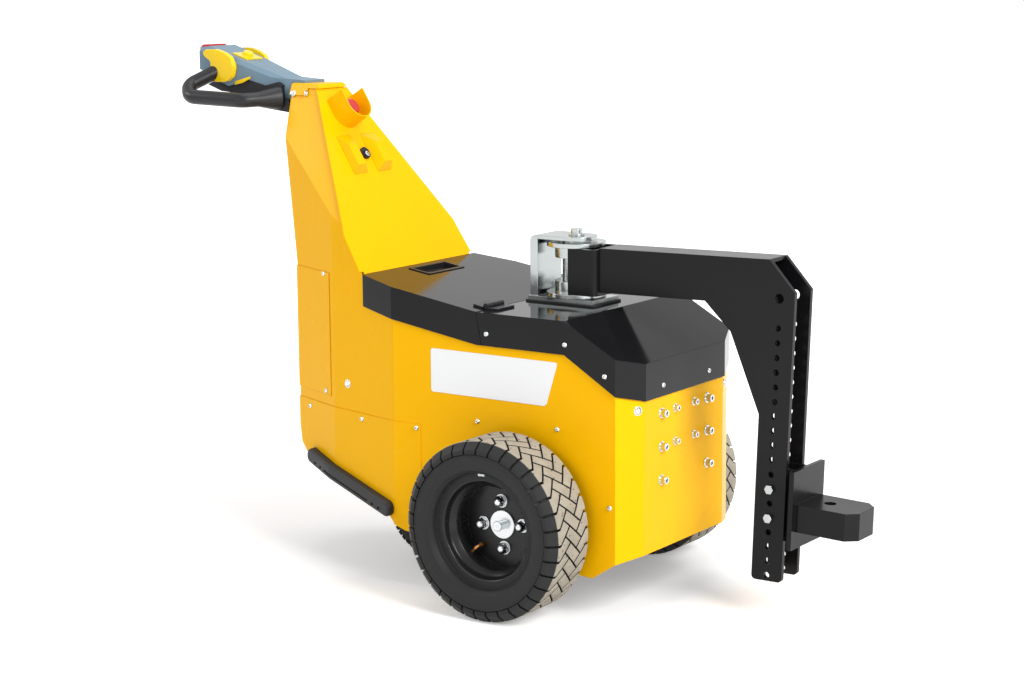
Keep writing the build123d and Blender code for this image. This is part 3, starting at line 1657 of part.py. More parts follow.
top_rise = (head_peak_z - head_neck_z) / (head_neck_x - head_peak_x)
rocker_mid_x = head_root_x - rocker_back
rocker_plane = Plane(
    origin=(ahead(rocker_mid_x), 0, head_neck_z + top_rise * (head_neck_x - rocker_mid_x)),
    x_dir=(0, 1, 0), z_dir=(top_rise, 0, 1),
)
with BuildPart() as lift_rocker:
    with BuildSketch(rocker_plane) as rocker_plate:
        Rectangle(rocker_half * 2, rocker_length)
    extrude(rocker_plate.sketch, amount=rocker_thickness)
    with BuildSketch(rocker_plane.offset(rocker_thickness)) as knob:
        Circle(knob_radius)
    extrude(knob.sketch, amount=knob_height)
    knob_top = lift_rocker.faces().sort_by(Axis(rocker_plane.origin, rocker_plane.z_dir))[-1]
    fillet(knob_top.edges(), knob_round)
save(lift_rocker, "lift_rocker")
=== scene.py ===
import json
from math import atan2, cos, pi, radians, sin

import bmesh
import bpy
from mathutils import Matrix, Vector
from mathutils.bvhtree import BVHTree


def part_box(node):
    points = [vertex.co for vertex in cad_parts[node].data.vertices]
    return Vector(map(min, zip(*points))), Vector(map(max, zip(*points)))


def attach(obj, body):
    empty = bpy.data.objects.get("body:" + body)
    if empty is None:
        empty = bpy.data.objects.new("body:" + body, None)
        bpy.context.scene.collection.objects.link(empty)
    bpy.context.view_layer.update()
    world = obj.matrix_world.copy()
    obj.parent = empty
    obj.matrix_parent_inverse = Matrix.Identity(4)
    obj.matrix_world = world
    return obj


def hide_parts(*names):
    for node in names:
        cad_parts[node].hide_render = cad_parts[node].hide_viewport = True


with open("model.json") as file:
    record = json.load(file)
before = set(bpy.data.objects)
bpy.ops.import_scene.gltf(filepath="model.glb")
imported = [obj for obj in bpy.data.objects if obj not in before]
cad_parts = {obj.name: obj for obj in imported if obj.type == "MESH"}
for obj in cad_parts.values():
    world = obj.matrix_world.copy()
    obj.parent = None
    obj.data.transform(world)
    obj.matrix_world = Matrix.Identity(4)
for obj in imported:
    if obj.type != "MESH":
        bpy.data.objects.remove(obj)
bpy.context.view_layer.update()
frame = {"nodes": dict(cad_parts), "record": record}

scene = bpy.context.scene
nodes = frame["nodes"]

# Main places in metres, with X forwards from the middle of the machine and its right side at negative Y
MILLIMETRE = 0.001
AXLE_X = 0.176
TYRE_RADIUS = 0.187
WHEEL_TRACK = 0.610
CASTOR_X = -0.199
CASTOR_RADIUS = 0.125
TOUCH = 1e-6

# Ways to place a shape: as it is, mirrored to the left side, and stood up from a side view
STILL = Matrix.Identity(4)
MIRROR = Matrix.Diagonal((1.0, -1.0, 1.0, 1.0))
UPRIGHT = Matrix(((1, 0, 0, 0), (0, 0, -1, 0), (0, 1, 0, 0), (0, 0, 0, 1)))


def ahead(distance):
    """X in metres of a place so many millimetres ahead of the drive axle."""
    return AXLE_X + distance * MILLIMETRE


def spot(x, y, z):
    """Point in metres from millimetres ahead of the drive axle, to the left and above the floor."""
    return Vector((ahead(x), y * MILLIMETRE, z * MILLIMETRE))


def metres(outline):
    """Outline in metres from one in millimetres."""
    return [(first * MILLIMETRE, second * MILLIMETRE) for first, second in outline]


def side_view(outline):
    """Outline in metres from millimetres ahead of the drive axle and above the floor."""
    return [(ahead(x), z * MILLIMETRE) for x, z in outline]


# Shader nodes

FLOAT = "NodeSocketFloat"
VECTOR = "NodeSocketVector"
MIX_FIRST = 6
MIX_SECOND = 7
MIX_RESULT = 2


def put(tree, kind, settings=None, **sockets):
    """Add a node, set its properties, and feed or set its sockets by label or by _ and number."""
    node = tree.nodes.new(kind)
    for key, value in (settings or {}).items():
        setattr(node, key, value)
    for key, value in sockets.items():
        socket = node.inputs[int(key[1:])] if key[1:].isdigit() else node.inputs[key.replace("_", " ")]
        if isinstance(value, bpy.types.NodeSocket):
            tree.links.new(value, socket)
        else:
            socket.default_value = value
    return node


def span(tree, value, low=0.0, high=1.0, first=0.0, last=1.0, way="LINEAR"):
    """Value stretched from one range to another and kept inside it."""
    settings = {"clamp": True, "interpolation_type": way}
    node = put(tree, "ShaderNodeMapRange", settings, Value=value, _1=low, _2=high, _3=first, _4=last)
    return node.outputs[0]


def worked_out(tree, operation, *values, clamp=False):
    """Result of a sum or product of numbers or sockets."""
    settings = {"operation": operation, "use_clamp": clamp}
    sockets = {f"_{number}": value for number, value in enumerate(values)}
    return put(tree, "ShaderNodeMath", settings, **sockets).outputs[0]


def mixed(tree, mask, first, second):
    """Colour that runs from the first to the second with a mask, each of them a tone or a socket."""
    blend = put(tree, "ShaderNodeMix", {"data_type": "RGBA"}, Factor=mask)
    for number, colour in ((MIX_FIRST, first), (MIX_SECOND, second)):
        if isinstance(colour, bpy.types.NodeSocket):
            tree.links.new(colour, blend.inputs[number])
        else:
            blend.inputs[number].default_value = (*colour, 1.0)
    return blend.outputs[MIX_RESULT]


def feed(tree, shader, colour, rough, normal):
    """Feed a shader's colour, roughness and normal."""
    tree.links.new(colour, shader.inputs["Base Color"])
    tree.links.new(rough, shader.inputs["Roughness"])
    tree.links.new(normal, shader.inputs["Normal"])


# Effects that several finishes share


def effect(name, inputs, outputs):
    """Empty shader node group with named numbers in and named results out, and its two end nodes."""
    tree = bpy.data.node_groups.new(name, "ShaderNodeTree")
    for label, value in inputs.items():
        socket = tree.interface.new_socket(label, in_out="INPUT", socket_type=FLOAT)
        socket.default_value = value
    for label, kind in outputs.items():
        tree.interface.new_socket(label, in_out="OUTPUT", socket_type=kind)
    return tree, tree.nodes.new("NodeGroupInput"), tree.nodes.new("NodeGroupOutput")


def use(tree, group, **values):
    """Place a shared effect in a material with this material's own values."""
    return put(tree, "ShaderNodeGroup", {"node_tree": group}, **values)


def make_paint_skin():
    """Fine ripple and slow patches of a sprayed coat."""
    tree, given, made = effect(
        "paint_skin",
        {"Ripple size": 900.0, "Ripple depth": 0.05, "Patch size": 6.0},
        {"Normal": VECTOR, "Patches": FLOAT},
    )
    place = put(tree, "ShaderNodeTexCoord").outputs["Object"]
    ripple = put(tree, "ShaderNodeTexNoise", Vector=place, Scale=given.outputs["Ripple size"], Detail=2.0)
    round_edges = put(tree, "ShaderNodeBevel", {"samples": 4}, Radius=0.0016)
    bump = put(
        tree, "ShaderNodeBump", Strength=given.outputs["Ripple depth"], Distance=0.0006,
        Height=ripple.outputs["Fac"], Normal=round_edges.outputs["Normal"],
    )
    patches = put(
        tree, "ShaderNodeTexNoise", Vector=place, Scale=given.outputs["Patch size"], Detail=5.0, Roughness=0.6
    )
    tree.links.new(bump.outputs["Normal"], made.inputs["Normal"])
    tree.links.new(patches.outputs["Fac"], made.inputs["Patches"])
    return tree


def make_grime():
    """Mask of dust that lies in patches, more of it on upward faces."""
    tree, given, made = effect("grime", {"Size": 9.0, "Amount": 0.5, "From above": 0.6}, {"Mask": FLOAT})
    place = put(tree, "ShaderNodeTexCoord").outputs["Object"]
    facing = put(tree, "ShaderNodeNewGeometry")
    upward = put(tree, "ShaderNodeSeparateXYZ", Vector=facing.outputs["Normal"])
    cloud = put(
        tree, "ShaderNodeTexNoise", Vector=place, Scale=given.outputs["Size"], Detail=8.0, Roughness=0.7
    )
    spread = span(tree, cloud.outputs["Fac"], low=0.42, high=0.72)
    top = worked_out(tree, "MULTIPLY", upward.outputs["Z"], 1.0, clamp=True)
    everywhere = 0.4
    lying = worked_out(tree, "MULTIPLY_ADD", top, given.outputs["From above"], everywhere)
    mask = worked_out(tree, "MULTIPLY", spread, lying)
    amount = worked_out(tree, "MULTIPLY", mask, given.outputs["Amount"], clamp=True)
    tree.links.new(amount, made.inputs["Mask"])
    return tree


paint_skin = make_paint_skin()
grime = make_grime()


# Kinds of finish


def finish_of(name, roughness, metallic=0.0, coat=0.0, specular=0.5):
    """New material with its shader; returns the material, its tree and the shader."""
    material = bpy.data.materials.new(name)
    material.use_nodes = True
    tree = material.node_tree
    shader = tree.nodes["Principled BSDF"]
    shader.inputs["Roughness"].default_value = roughness
    shader.inputs["Metallic"].default_value = metallic
    shader.inputs["Coat Weight"].default_value = coat
    shader.inputs["Specular IOR Level"].default_value = specular
    return material, tree, shader


def coated(name, tones, dust_tone, roughness, dust, coat=0.0, ripple=0.05, size=900.0, specular=0.5):
    """Sprayed or powder-coated sheet metal, moulded plastic or plain rubber."""
    smooth, rough = roughness
    material, tree, shader = finish_of(name, smooth, coat=coat, specular=specular)
    skin = use(tree, paint_skin, Ripple_depth=ripple, Ripple_size=size)
    dirt = use(tree, grime, Amount=dust, Size=7.0)
    patches = skin.outputs["Patches"]
    colour = mixed(tree, dirt.outputs["Mask"], mixed(tree, patches, *tones), dust_tone)
    polish = span(tree, patches, low=0.3, high=0.7, first=smooth, last=rough)
    feed(tree, shader, colour, polish, skin.outputs["Normal"])
    return material


def plated(name, tones, roughness, grain=0.06):
    """Bright zinc plate or bare metal, slightly mottled."""
    smooth, rough = roughness
    material, tree, shader = finish_of(name, smooth, metallic=1.0)
    skin = use(tree, paint_skin, Ripple_depth=grain, Ripple_size=420.0, Patch_size=38.0)
    patches = skin.outputs["Patches"]
    polish = span(tree, patches, low=0.35, high=0.65, first=smooth, last=rough)
    feed(tree, shader, mixed(tree, patches, *tones), polish, skin.outputs["Normal"])
    return material


def treaded(name, groove_tones, road_tones):
    """Rubber whose road faces carry pale dust and a few small pits."""
    material, tree, shader = finish_of(name, roughness=0.62, specular=0.18)
    skin = use(tree, paint_skin, Ripple_depth=0.35, Ripple_size=420.0, Patch_size=30.0)
    patches = skin.outputs["Patches"]
    place = put(tree, "ShaderNodeTexCoord").outputs["Object"]
    pits = put(tree, "ShaderNodeTexVoronoi", Vector=place, Scale=75.0, Randomness=1.0)
    bare = span(tree, pits.outputs["Distance"], low=0.10, high=0.16)
    road = put(tree, "ShaderNodeAttribute", {"attribute_name": "tread_top"})
    level = span(tree, road.outputs["Fac"], low=0.55, high=0.95)
    dusty = worked_out(tree, "MULTIPLY", level, bare)
    colour = mixed(tree, dusty, mixed(tree, patches, *groove_tones), mixed(tree, patches, *road_tones))
    polish = span(tree, dusty, first=0.5, last=0.85)
    feed(tree, shader, colour, polish, skin.outputs["Normal"])
    return material


# Paint

yellow_coat = coated(
    "yellow_coat", tones=((0.94, 0.475, 0.001), (0.96, 0.50, 0.001)), dust_tone=(0.80, 0.50, 0.06),
    roughness=(0.24, 0.30), dust=0.02, specular=0.06,
)
hood_coat = coated(
    "hood_coat", tones=((0.006, 0.006, 0.007), (0.009, 0.009, 0.010)), dust_tone=(0.05, 0.05, 0.05),
    roughness=(0.07, 0.11), dust=0.03, ripple=0.03, specular=0.14,
)
black_coat = coated(
    "black_coat", tones=((0.006, 0.006, 0.007), (0.009, 0.009, 0.010)), dust_tone=(0.04, 0.04, 0.04),
    roughness=(0.20, 0.28), dust=0.04, specular=0.15,
)
wheel_coat = coated(
    "wheel_coat", tones=((0.008, 0.008, 0.009), (0.012, 0.012, 0.013)), dust_tone=(0.05, 0.05, 0.05),
    roughness=(0.22, 0.34), dust=0.08, specular=0.3,
)
frame_coat = coated(
    "frame_coat", tones=((0.022, 0.022, 0.024), (0.032, 0.032, 0.034)), dust_tone=(0.10, 0.09, 0.08),
    roughness=(0.45, 0.6), dust=0.4,
)

# Bare and plated metal

zinc_plate = plated(
    "zinc_plate", tones=((0.36, 0.39, 0.39), (0.50, 0.53, 0.52)), roughness=(0.14, 0.24), grain=0.03
)
bright_steel = plated(
    "bright_steel", tones=((0.56, 0.59, 0.60), (0.70, 0.72, 0.73)), roughness=(0.18, 0.30), grain=0.03
)
brass = plated("brass", tones=((0.45, 0.20, 0.06), (0.55, 0.26, 0.09)), roughness=(0.25, 0.40))

# Rubber

black_rubber = coated(
    "black_rubber", tones=((0.016, 0.017, 0.018), (0.022, 0.023, 0.024)), dust_tone=(0.05, 0.05, 0.05),
    roughness=(0.42, 0.55), dust=0.2, ripple=0.25, size=700.0, specular=0.3,
)
tyre_rubber = treaded(
    "tyre_rubber", groove_tones=((0.016, 0.0165, 0.017), (0.026, 0.026, 0.026)),
    road_tones=((0.22, 0.195, 0.155), (0.46, 0.42, 0.345)),
)
castor_rubber = treaded(
    "castor_rubber", groove_tones=((0.016, 0.014, 0.013), (0.026, 0.023, 0.020)),
    road_tones=((0.030, 0.026, 0.022), (0.045, 0.038, 0.032)),
)

# Moulded plastic and label film

grey_shell = coated(
    "grey_shell", tones=((0.15, 0.23, 0.30), (0.17, 0.26, 0.33)), dust_tone=(0.3, 0.3, 0.3),
    roughness=(0.38, 0.46), dust=0.05, ripple=0.3, size=1600.0, specular=0.3,
)
black_shell = coated(
    "black_shell", tones=((0.010, 0.010, 0.012), (0.015, 0.015, 0.018)), dust_tone=(0.06, 0.06, 0.06),
    roughness=(0.30, 0.42), dust=0.1, ripple=0.25, size=1500.0, specular=0.3,
)
yellow_shell = coated(
    "yellow_shell", tones=((0.95, 0.62, 0.003), (0.97, 0.65, 0.004)), dust_tone=(0.8, 0.6, 0.2),
    roughness=(0.16, 0.22), dust=0.03, coat=0.1, ripple=0.1, size=1500.0, specular=0.3,
)
red_shell = coated(
    "red_shell", tones=((0.48, 0.006, 0.010), (0.55, 0.010, 0.014)), dust_tone=(0.5, 0.2, 0.2),
    roughness=(0.22, 0.30), dust=0.03, coat=0.3, ripple=0.1, size=1500.0,
)
white_film = coated(
    "white_film", tones=((0.86, 0.87, 0.88), (0.88, 0.89, 0.90)), dust_tone=(0.7, 0.7, 0.7),
    roughness=(0.30, 0.36), dust=0.05, coat=0.1, size=1500.0,
)

# Finishes of the CAD nodes, by their slots, and of the two that are glossier than their slot

FINISH_OF_SLOT = {
    "yellow_paint": yellow_coat,
    "black_paint": black_coat,
    "dark_steel": frame_coat,
    "cast_housing": frame_coat,
    "zinc_steel": zinc_plate,
    "black_rubber": black_rubber,
    "tyre_rubber": tyre_rubber,
    "grey_plastic": grey_shell,
    "black_plastic": black_shell,
    "yellow_plastic": yellow_shell,
    "red_plastic": red_shell,
}
for entry in frame["record"]["subparts"]:
    finishes = nodes[entry["node"]].data.materials
    finishes.clear()
    finishes.append(FINISH_OF_SLOT[entry["material_slot"]])
for name in ("front_cover", "battery_lid"):
    nodes[name].data.materials[0] = hood_coat


# Shaping


def everything(shape):
    """All corners, edges and faces of a shape."""
    return shape.verts[:] + shape.edges[:] + shape.faces[:]


def edges_at(shape, height):
    """Edges of a shape that lie at one height."""
    return [
        line for line in shape.edges
        if all(abs(corner.co.z - height) < TOUCH for corner in line.verts)
    ]


def soften(shape, parts, width, steps=2, kind="EDGES"):
    """Round edges or corners with a bevel."""
    bmesh.ops.bevel(
        shape, geom=parts, offset=width, segments=steps, profile=0.5, affect=kind, material=-1,
        clamp_overlap=True,
    )


def thicken(shape, height):
    """Extrude flat faces along Z into closed solids."""
    made = bmesh.ops.extrude_face_region(shape, geom=shape.faces[:])
    moved = [item for item in made["geom"] if isinstance(item, bmesh.types.BMVert)]
    bmesh.ops.translate(shape, vec=(0.0, 0.0, height), verts=moved)
    bmesh.ops.recalc_face_normals(shape, faces=shape.faces)


def turned(profile, steps):
    """Shape turned round Z from its outline of radii and heights in millimetres."""
    shape = bmesh.new()
    corners = [shape.verts.new((radius, 0.0, height)) for radius, height in metres(profile)]
    edges = [shape.edges.new(pair) for pair in zip(corners, corners[1:])]
    if profile[0][0] > 0.0:
        edges.append(shape.edges.new((corners[-1], corners[0])))
    bmesh.ops.spin(
        shape, geom=corners + edges, cent=(0.0, 0.0, 0.0), axis=(0.0, 0.0, 1.0), angle=2 * pi, steps=steps,
        use_merge=True, use_normal_flip=False, use_duplicate=False,
    )
    bmesh.ops.remove_doubles(shape, verts=shape.verts, dist=TOUCH)
    bmesh.ops.recalc_face_normals(shape, faces=shape.faces)
    return shape


def slab(outline, low, high, edge=0.0, corner=0.0):
    """Flat outline in metres, thickened from one height to another, with its corners and edges rounded."""
    shape = bmesh.new()
    shape.faces.new([shape.verts.new((x, y, low)) for x, y in outline])
    if corner:
        soften(shape, shape.verts[:], corner, steps=4, kind="VERTICES")
    thicken(shape, high - low)
    if edge:
        level = [line for line in shape.edges if abs(line.verts[0].co.z - line.verts[1].co.z) < TOUCH]
        soften(shape, level, edge)
    return shape


def stamp(target, shape, matrix=STILL, finish=0):
    """Add a copy of a shape to another at its place, with the number of its finish."""
    copy = shape.copy()
    bmesh.ops.transform(copy, matrix=matrix, verts=copy.verts)
    if matrix.determinant() < 0.0:
        bmesh.ops.reverse_faces(copy, faces=copy.faces)
    for face in copy.faces:
        face.material_index = finish
    mesh = bpy.data.meshes.new("stamp")
    copy.to_mesh(mesh)
    copy.free()
    target.from_mesh(mesh)
    bpy.data.meshes.remove(mesh)


def gathered(shapes, matrix=STILL):
    """One shape from copies of others, all moved alike."""
    whole = bmesh.new()
    for shape in shapes:
        stamp(whole, shape, matrix)
    return whole


def on_both_sides(shape):
    """Shape drawn in side view, stood up on the right side and mirrored to the left."""
    pair = bmesh.new()
    for hand in (STILL, MIRROR):
        stamp(pair, shape, hand @ UPRIGHT)
    return pair


def mount(name, shape, finishes, body, stands_for=(), sharp=38):
    """Make a finished piece of a shape and let it ride on its body."""
    mesh = bpy.data.meshes.new(name)
    shape.to_mesh(mesh)
    shape.free()
    for finish in finishes:
        mesh.materials.append(finish)
    mesh.shade_smooth()
    mesh.set_sharp_from_angle(angle=radians(sharp))
    piece = bpy.data.objects.new(name, mesh)
    scene.collection.objects.link(piece)
    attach(piece, body)
    if stands_for:
        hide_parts(*stands_for)


def skin_of(name):
    """Searchable surface of a CAD node."""
    shape = bmesh.new()
    shape.from_mesh(nodes[name].data)
    tree = BVHTree.FromBMesh(shape)
    shape.free()
    return tree


def seat(surface, point):
    """Place on a surface nearest to a point, with Z pointing out of it."""
    nearest, outward, _, _ = surface.find_nearest(point)
    return Matrix.Translation(nearest) @ outward.to_track_quat("Z", "Y").to_matrix().to_4x4()


# Fasteners, with heights above the sheet that they sit on

NUT_RADIUS = 0.0122
NUT_HEIGHT = 0.010
NUT_MIDDLE = 0.0068
BOLT_RADIUS = 0.0052
BOLT_FOOT = 0.0006
BOLT_TOP = 0.0052

button_screw = turned((
    (0, 1.2), (1.9, 1.2), (2.1, 3.6), (2.7, 3.8), (3.9, 3.2), (5.0, 2.1), (5.6, 0.9), (5.6, -0.5), (0, -0.5),
), steps=20)
cap_screw = turned((
    (0, 6.0), (4.0, 6.0), (4.2, 13.4), (4.8, 14.0), (7.2, 14.0), (8.2, 13.0), (8.3, 2.0), (10.6, 2.0),
    (11.2, 1.4), (11.2, -0.5), (0, -0.5),
), steps=24)
small_cap_screw = turned((
    (0, 4.5), (3.0, 4.5), (3.2, 9.6), (3.7, 10.0), (5.6, 10.0), (6.4, 9.2), (6.5, 1.6), (8.6, 1.6),
    (9.0, 1.2), (9.0, -0.5), (0, -0.5),
), steps=24)
dome_head = turned((
    (0, 7.4), (2.4, 7.1), (4.8, 6.0), (6.6, 4.2), (7.5, 2.0), (7.6, 1.4), (9.6, 1.4), (10.0, 1.0),
    (10.0, -0.5), (0, -0.5),
), steps=24)


def make_dome_nut():
    """Domed wheel nut on its washer."""
    washer = turned(((9.0, 0), (14.0, 0), (14.4, 0.4), (14.4, 1.8), (14.0, 2.2), (9.0, 2.2)), steps=32)
    dome = turned((
        (0, 22), (3.4, 21.5), (6.6, 19.9), (9.0, 17.2), (10.3, 14.0), (10.5, 12.0), (10.2, 11.2), (0, 11.2),
    ), steps=24)
    body = bmesh.new()
    bmesh.ops.create_cone(
        body, cap_ends=True, segments=6, radius1=NUT_RADIUS, radius2=NUT_RADIUS, depth=NUT_HEIGHT,
        matrix=Matrix.Translation((0.0, 0.0, NUT_MIDDLE)),
    )
    soften(body, body.edges[:], width=0.0008)
    return gathered((washer, body, dome))


def make_flange_bolt():
    """Six-sided bolt head on its flange."""
    flange = turned(((0, 1.0), (6.4, 1.0), (7.6, 0.4), (7.8, -0.4), (0, -0.4)), steps=24)
    hexagon = [(BOLT_RADIUS * cos(side * pi / 3), BOLT_RADIUS * sin(side * pi / 3)) for side in range(6)]
    head = slab(hexagon, BOLT_FOOT, BOLT_TOP, edge=0.0006)
    return gathered((flange, head))


dome_nut = make_dome_nut()
flange_bolt = make_flange_bolt()


# Screws of the right side: node, millimetres ahead of the drive axle, to the left and up, and kind of screw

FRONT_FACE = 250
SCREW_REACH = 0.012
SCREWS = (
    ("rear_cover", (-571, -151.5, 645), button_screw),
    ("rear_cover", (-571, -151.5, 383), button_screw),
    ("tower_side_right", (-486, -181, 412), dome_head),
    ("rear_skirt", (-641, -122, 336), button_screw),
    ("rear_skirt", (-435, -195, 342), button_screw),
    ("rear_skirt", (-261, -227, 348), button_screw),
    ("side_panel_right", (-103, -227, 380), button_screw),
    ("side_panel_right", (96, -227, 386), button_screw),
    ("side_panel_right", (222, -227, 238.5), button_screw),
    ("front_cover", (-76, -231, 567), button_screw),
    ("front_cover", (117.5, -231, 563), button_screw),
    ("front_cover", (212.6, -231, 507.6), button_screw),
    ("front_cover", (266, -93, 474), button_screw),
    ("front_panel", (262, -92.5, 415.5), cap_screw),
    ("front_panel", (262, -92.5, 345.5), cap_screw),
    ("front_panel", (262, -92.5, 275.5), cap_screw),
    ("front_panel", (262, -38, 417), small_cap_screw),
    ("front_panel", (262, -38, 347), small_cap_screw),
    ("front_panel", (254, -179, 433), dome_head),
    ("tower_cap", (-735, -50, 1033), flange_bolt),
    ("tower_cap", (-692, -50, 1033), flange_bolt),
)


def mount_body_screws():
    """Screws on the right side, each searched for from outside its sheet, and the same on the left."""
    shape = bmesh.new()
    surfaces = {name: skin_of(name) for name in sorted({row[0] for row in SCREWS})}
    for name, (x, y, z), screw in SCREWS:
        outward = Vector((1.0, 0.0, 0.0)) if x > FRONT_FACE else Vector((0.0, -1.0, 0.0))
        place = seat(surfaces[name], spot(x, y, z) + outward * SCREW_REACH)
        for hand in (STILL, MIRROR):
            stamp(shape, screw, hand @ place)
    mount("body_screws", shape, (bright_steel,), "chassis")


mount_body_screws()


# Handle

CUFF = (
    (-987, 1113), (-978, 1120), (-947, 1121), (-922, 1114), (-904, 1104), (-895, 1083), (-901, 1059),
    (-918, 1048), (-946, 1047), (-968, 1049), (-963, 1072), (-964, 1094), (-982, 1104),
)
CUFF_INNER = 0.0524
CUFF_OUTER = 0.0653
STRIP = ((-903, 1041), (-880, 1046), (-857, 1056), (-855, 1062), (-900, 1050))
STRIP_INNER = 0.0500
STRIP_OUTER = 0.0528
# Outline and heights of the key slot: a black slab on the lock face, painted shade standing for the dark
# recess of the keyway
KEY_SLOT_SHADE = ((-0.9, -3.4), (0.9, -3.4), (0.9, 3.4), (-0.9, 3.4))
KEY_SLOT_SHADE_LOW = 0.0006
KEY_SLOT_SHADE_HIGH = 0.0012
LOCK_AHEAD = 0.03
LOCK_ABOVE = 0.02


def mount_lever_cuffs():
    """Cuffs of the thumb levers, rounded on their outer faces."""
    cuff = slab(side_view(CUFF), CUFF_INNER, CUFF_OUTER, corner=0.006)
    soften(cuff, edges_at(cuff, CUFF_OUTER), width=0.0058, steps=5)
    cuffs = on_both_sides(cuff)
    mount("lever_cuffs", cuffs, (yellow_shell,), "chassis", ("thumb_levers",), sharp=50)


def mount_head_strips():
    """Strips along the underside of the handle head."""
    strip = slab(side_view(STRIP), STRIP_INNER, STRIP_OUTER, edge=0.0008)
    mount("head_strips", on_both_sides(strip), (yellow_shell,), "chassis")


def mount_lock_face():
    """Steel face of the key switch with a thin black slab on it as painted shade of its key slot, searched
    for from above and in front.
    """
    low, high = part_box("key_switch")
    start = Vector((high[0] + LOCK_AHEAD, 0.0, (low[2] + high[2]) / 2 + LOCK_ABOVE))
    place = seat(skin_of("key_switch"), start)
    face = turned(((0, 0.9), (5.6, 0.9), (6.2, 0.5), (6.4, -0.4), (0, -0.4)), steps=28)
    shape = gathered((face,), place)
    # The key slot is a thin black slab, painted shade in place of the keyway's recess
    stamp(shape, slab(metres(KEY_SLOT_SHADE), KEY_SLOT_SHADE_LOW, KEY_SLOT_SHADE_HIGH), place, finish=1)
    mount("lock_face", shape, (bright_steel, black_shell), "chassis")


mount_lever_cuffs()
mount_head_strips()
mount_lock_face()


# Blank labels on the sides

LABEL = ((-222, 431), (69, 431), (98, 524), (-222, 524))
LABEL_INNER = 0.2270
LABEL_OUTER = 0.2275

label = slab(side_view(LABEL), LABEL_INNER, LABEL_OUTER, corner=0.006)
mount("side_labels", on_both_sides(label), (white_film,), "chassis")


# Tyres, round the Z axis with the wheel's outer side up

SHOULDER = 0.003
CUT_PITCH = 0.012
ROAD_REACH = 0.002
ROAD_SHARE = 0.3


def flat_blocks(outlines, gap, depth, edge):
    """One pitch of road blocks laid flat, from outlines across and along the tread in millimetres."""
    shape = bmesh.new()
    for outline in outlines:
        shape.faces.new([shape.verts.new((across, along, 0.0)) for across, along in metres(outline)])
    bmesh.ops.inset_region(
        shape, faces=shape.faces[:], thickness=gap, use_boundary=True, use_even_offset=True
    )
    gaps = [face for face in shape.faces if any(line.is_boundary for line in face.edges)]
    bmesh.ops.delete(shape, geom=gaps, context="FACES")
    thicken(shape, -depth)
    soften(shape, edges_at(shape, 0.0), edge)
    return shape


def cut_blocks(shape, crown):
    """Cut flat blocks at their shoulders and across, so that they can bend round a wheel."""
    reaches = (-crown, -crown - SHOULDER, crown, crown + SHOULDER)
    cuts = [((reach, 0.0, 0.0), (1.0, 0.0, 0.0)) for reach in reaches]
    cuts += [((0.0, number * CUT_PITCH, 0.0), (0.0, 1.0, 0.0)) for number in range(-2, 4)]
    for point, normal in cuts:
        bmesh.ops.bisect_plane(shape, geom=everything(shape), dist=TOUCH, plane_co=point, plane_no=normal)


def bend_blocks(shape, radius, crown, slope, edge):
    """Bend flat blocks round a wheel, slope them beyond the crown, and mark the corners of road faces."""
    level = shape.verts.layers.float.new("tread_top")
    for corner in shape.verts:
        across, along, height = corner.co
        beyond = abs(across) - crown
        road = height > -edge * ROAD_SHARE and beyond < ROAD_REACH
        corner[level] = 1.0 if road else 0.0
        reach = radius + height - max(0.0, beyond) * slope
        corner.co = (reach * cos(along / radius), reach * sin(along / radius), across)


def road_blocks(outlines, gap, depth, edge, radius, crown, slope, count):
    """Road blocks all round a wheel, from one pitch of outlines."""
    shape = flat_blocks(outlines, gap, depth, edge)
    cut_blocks(shape, crown)
    bend_blocks(shape, radius, crown, slope, edge)
    bmesh.ops.spin(
        shape, geom=everything(shape), cent=(0.0, 0.0, 0.0), axis=(0.0, 0.0, 1.0),
        angle=2 * pi * (count - 1) / count, steps=count - 1, use_merge=False, use_duplicate=True,
    )
    return shape


def both_ways(profile):
    """Closed outline from the half on one side of a wheel's middle, from the outside in."""
    return [*profile, *((radius, -height) for radius, height in reversed(profile))]


# Drive wheels

SIDE_BLOCK = ((-69, 12), (-45, 12), (-12.8, -20.2), (-28.4, -33.2), (-45, -16.6), (-69, -16.6))
MIDDLE_BLOCK = ((-26, -2), (10, 28), (26, 12), (-10, -18))
FAR_SIDE_BLOCK = [(-across, 10 - along) for across, along in SIDE_BLOCK]
BEAD_RADIUS = 93.0
BEAD_HEIGHT = -20.0
BEAD_THICKNESS = 3.0
BEAD_RIPPLES = ((0.0007, 23, 0.0), (0.0005, 61, 1.3))
STUD_COUNT = 4
STUD_START = radians(4)
STUD_CIRCLE = 0.049
STUD_FOOT = -0.022
VALVE_TURN = atan2(-68.0, -69.9)
VALVE_RADIUS = 0.086
VALVE_HEIGHT = -0.0005
ELBOW_START = 0.009
ELBOW_BEND = 0.008
WEIGHT_INNER = 0.1135
WEIGHT_OUTER = 0.1195
WEIGHT_TURNS = (1.545, 1.615, 1.685)
WEIGHT_LOW = 0.0445
WEIGHT_HIGH = 0.0478

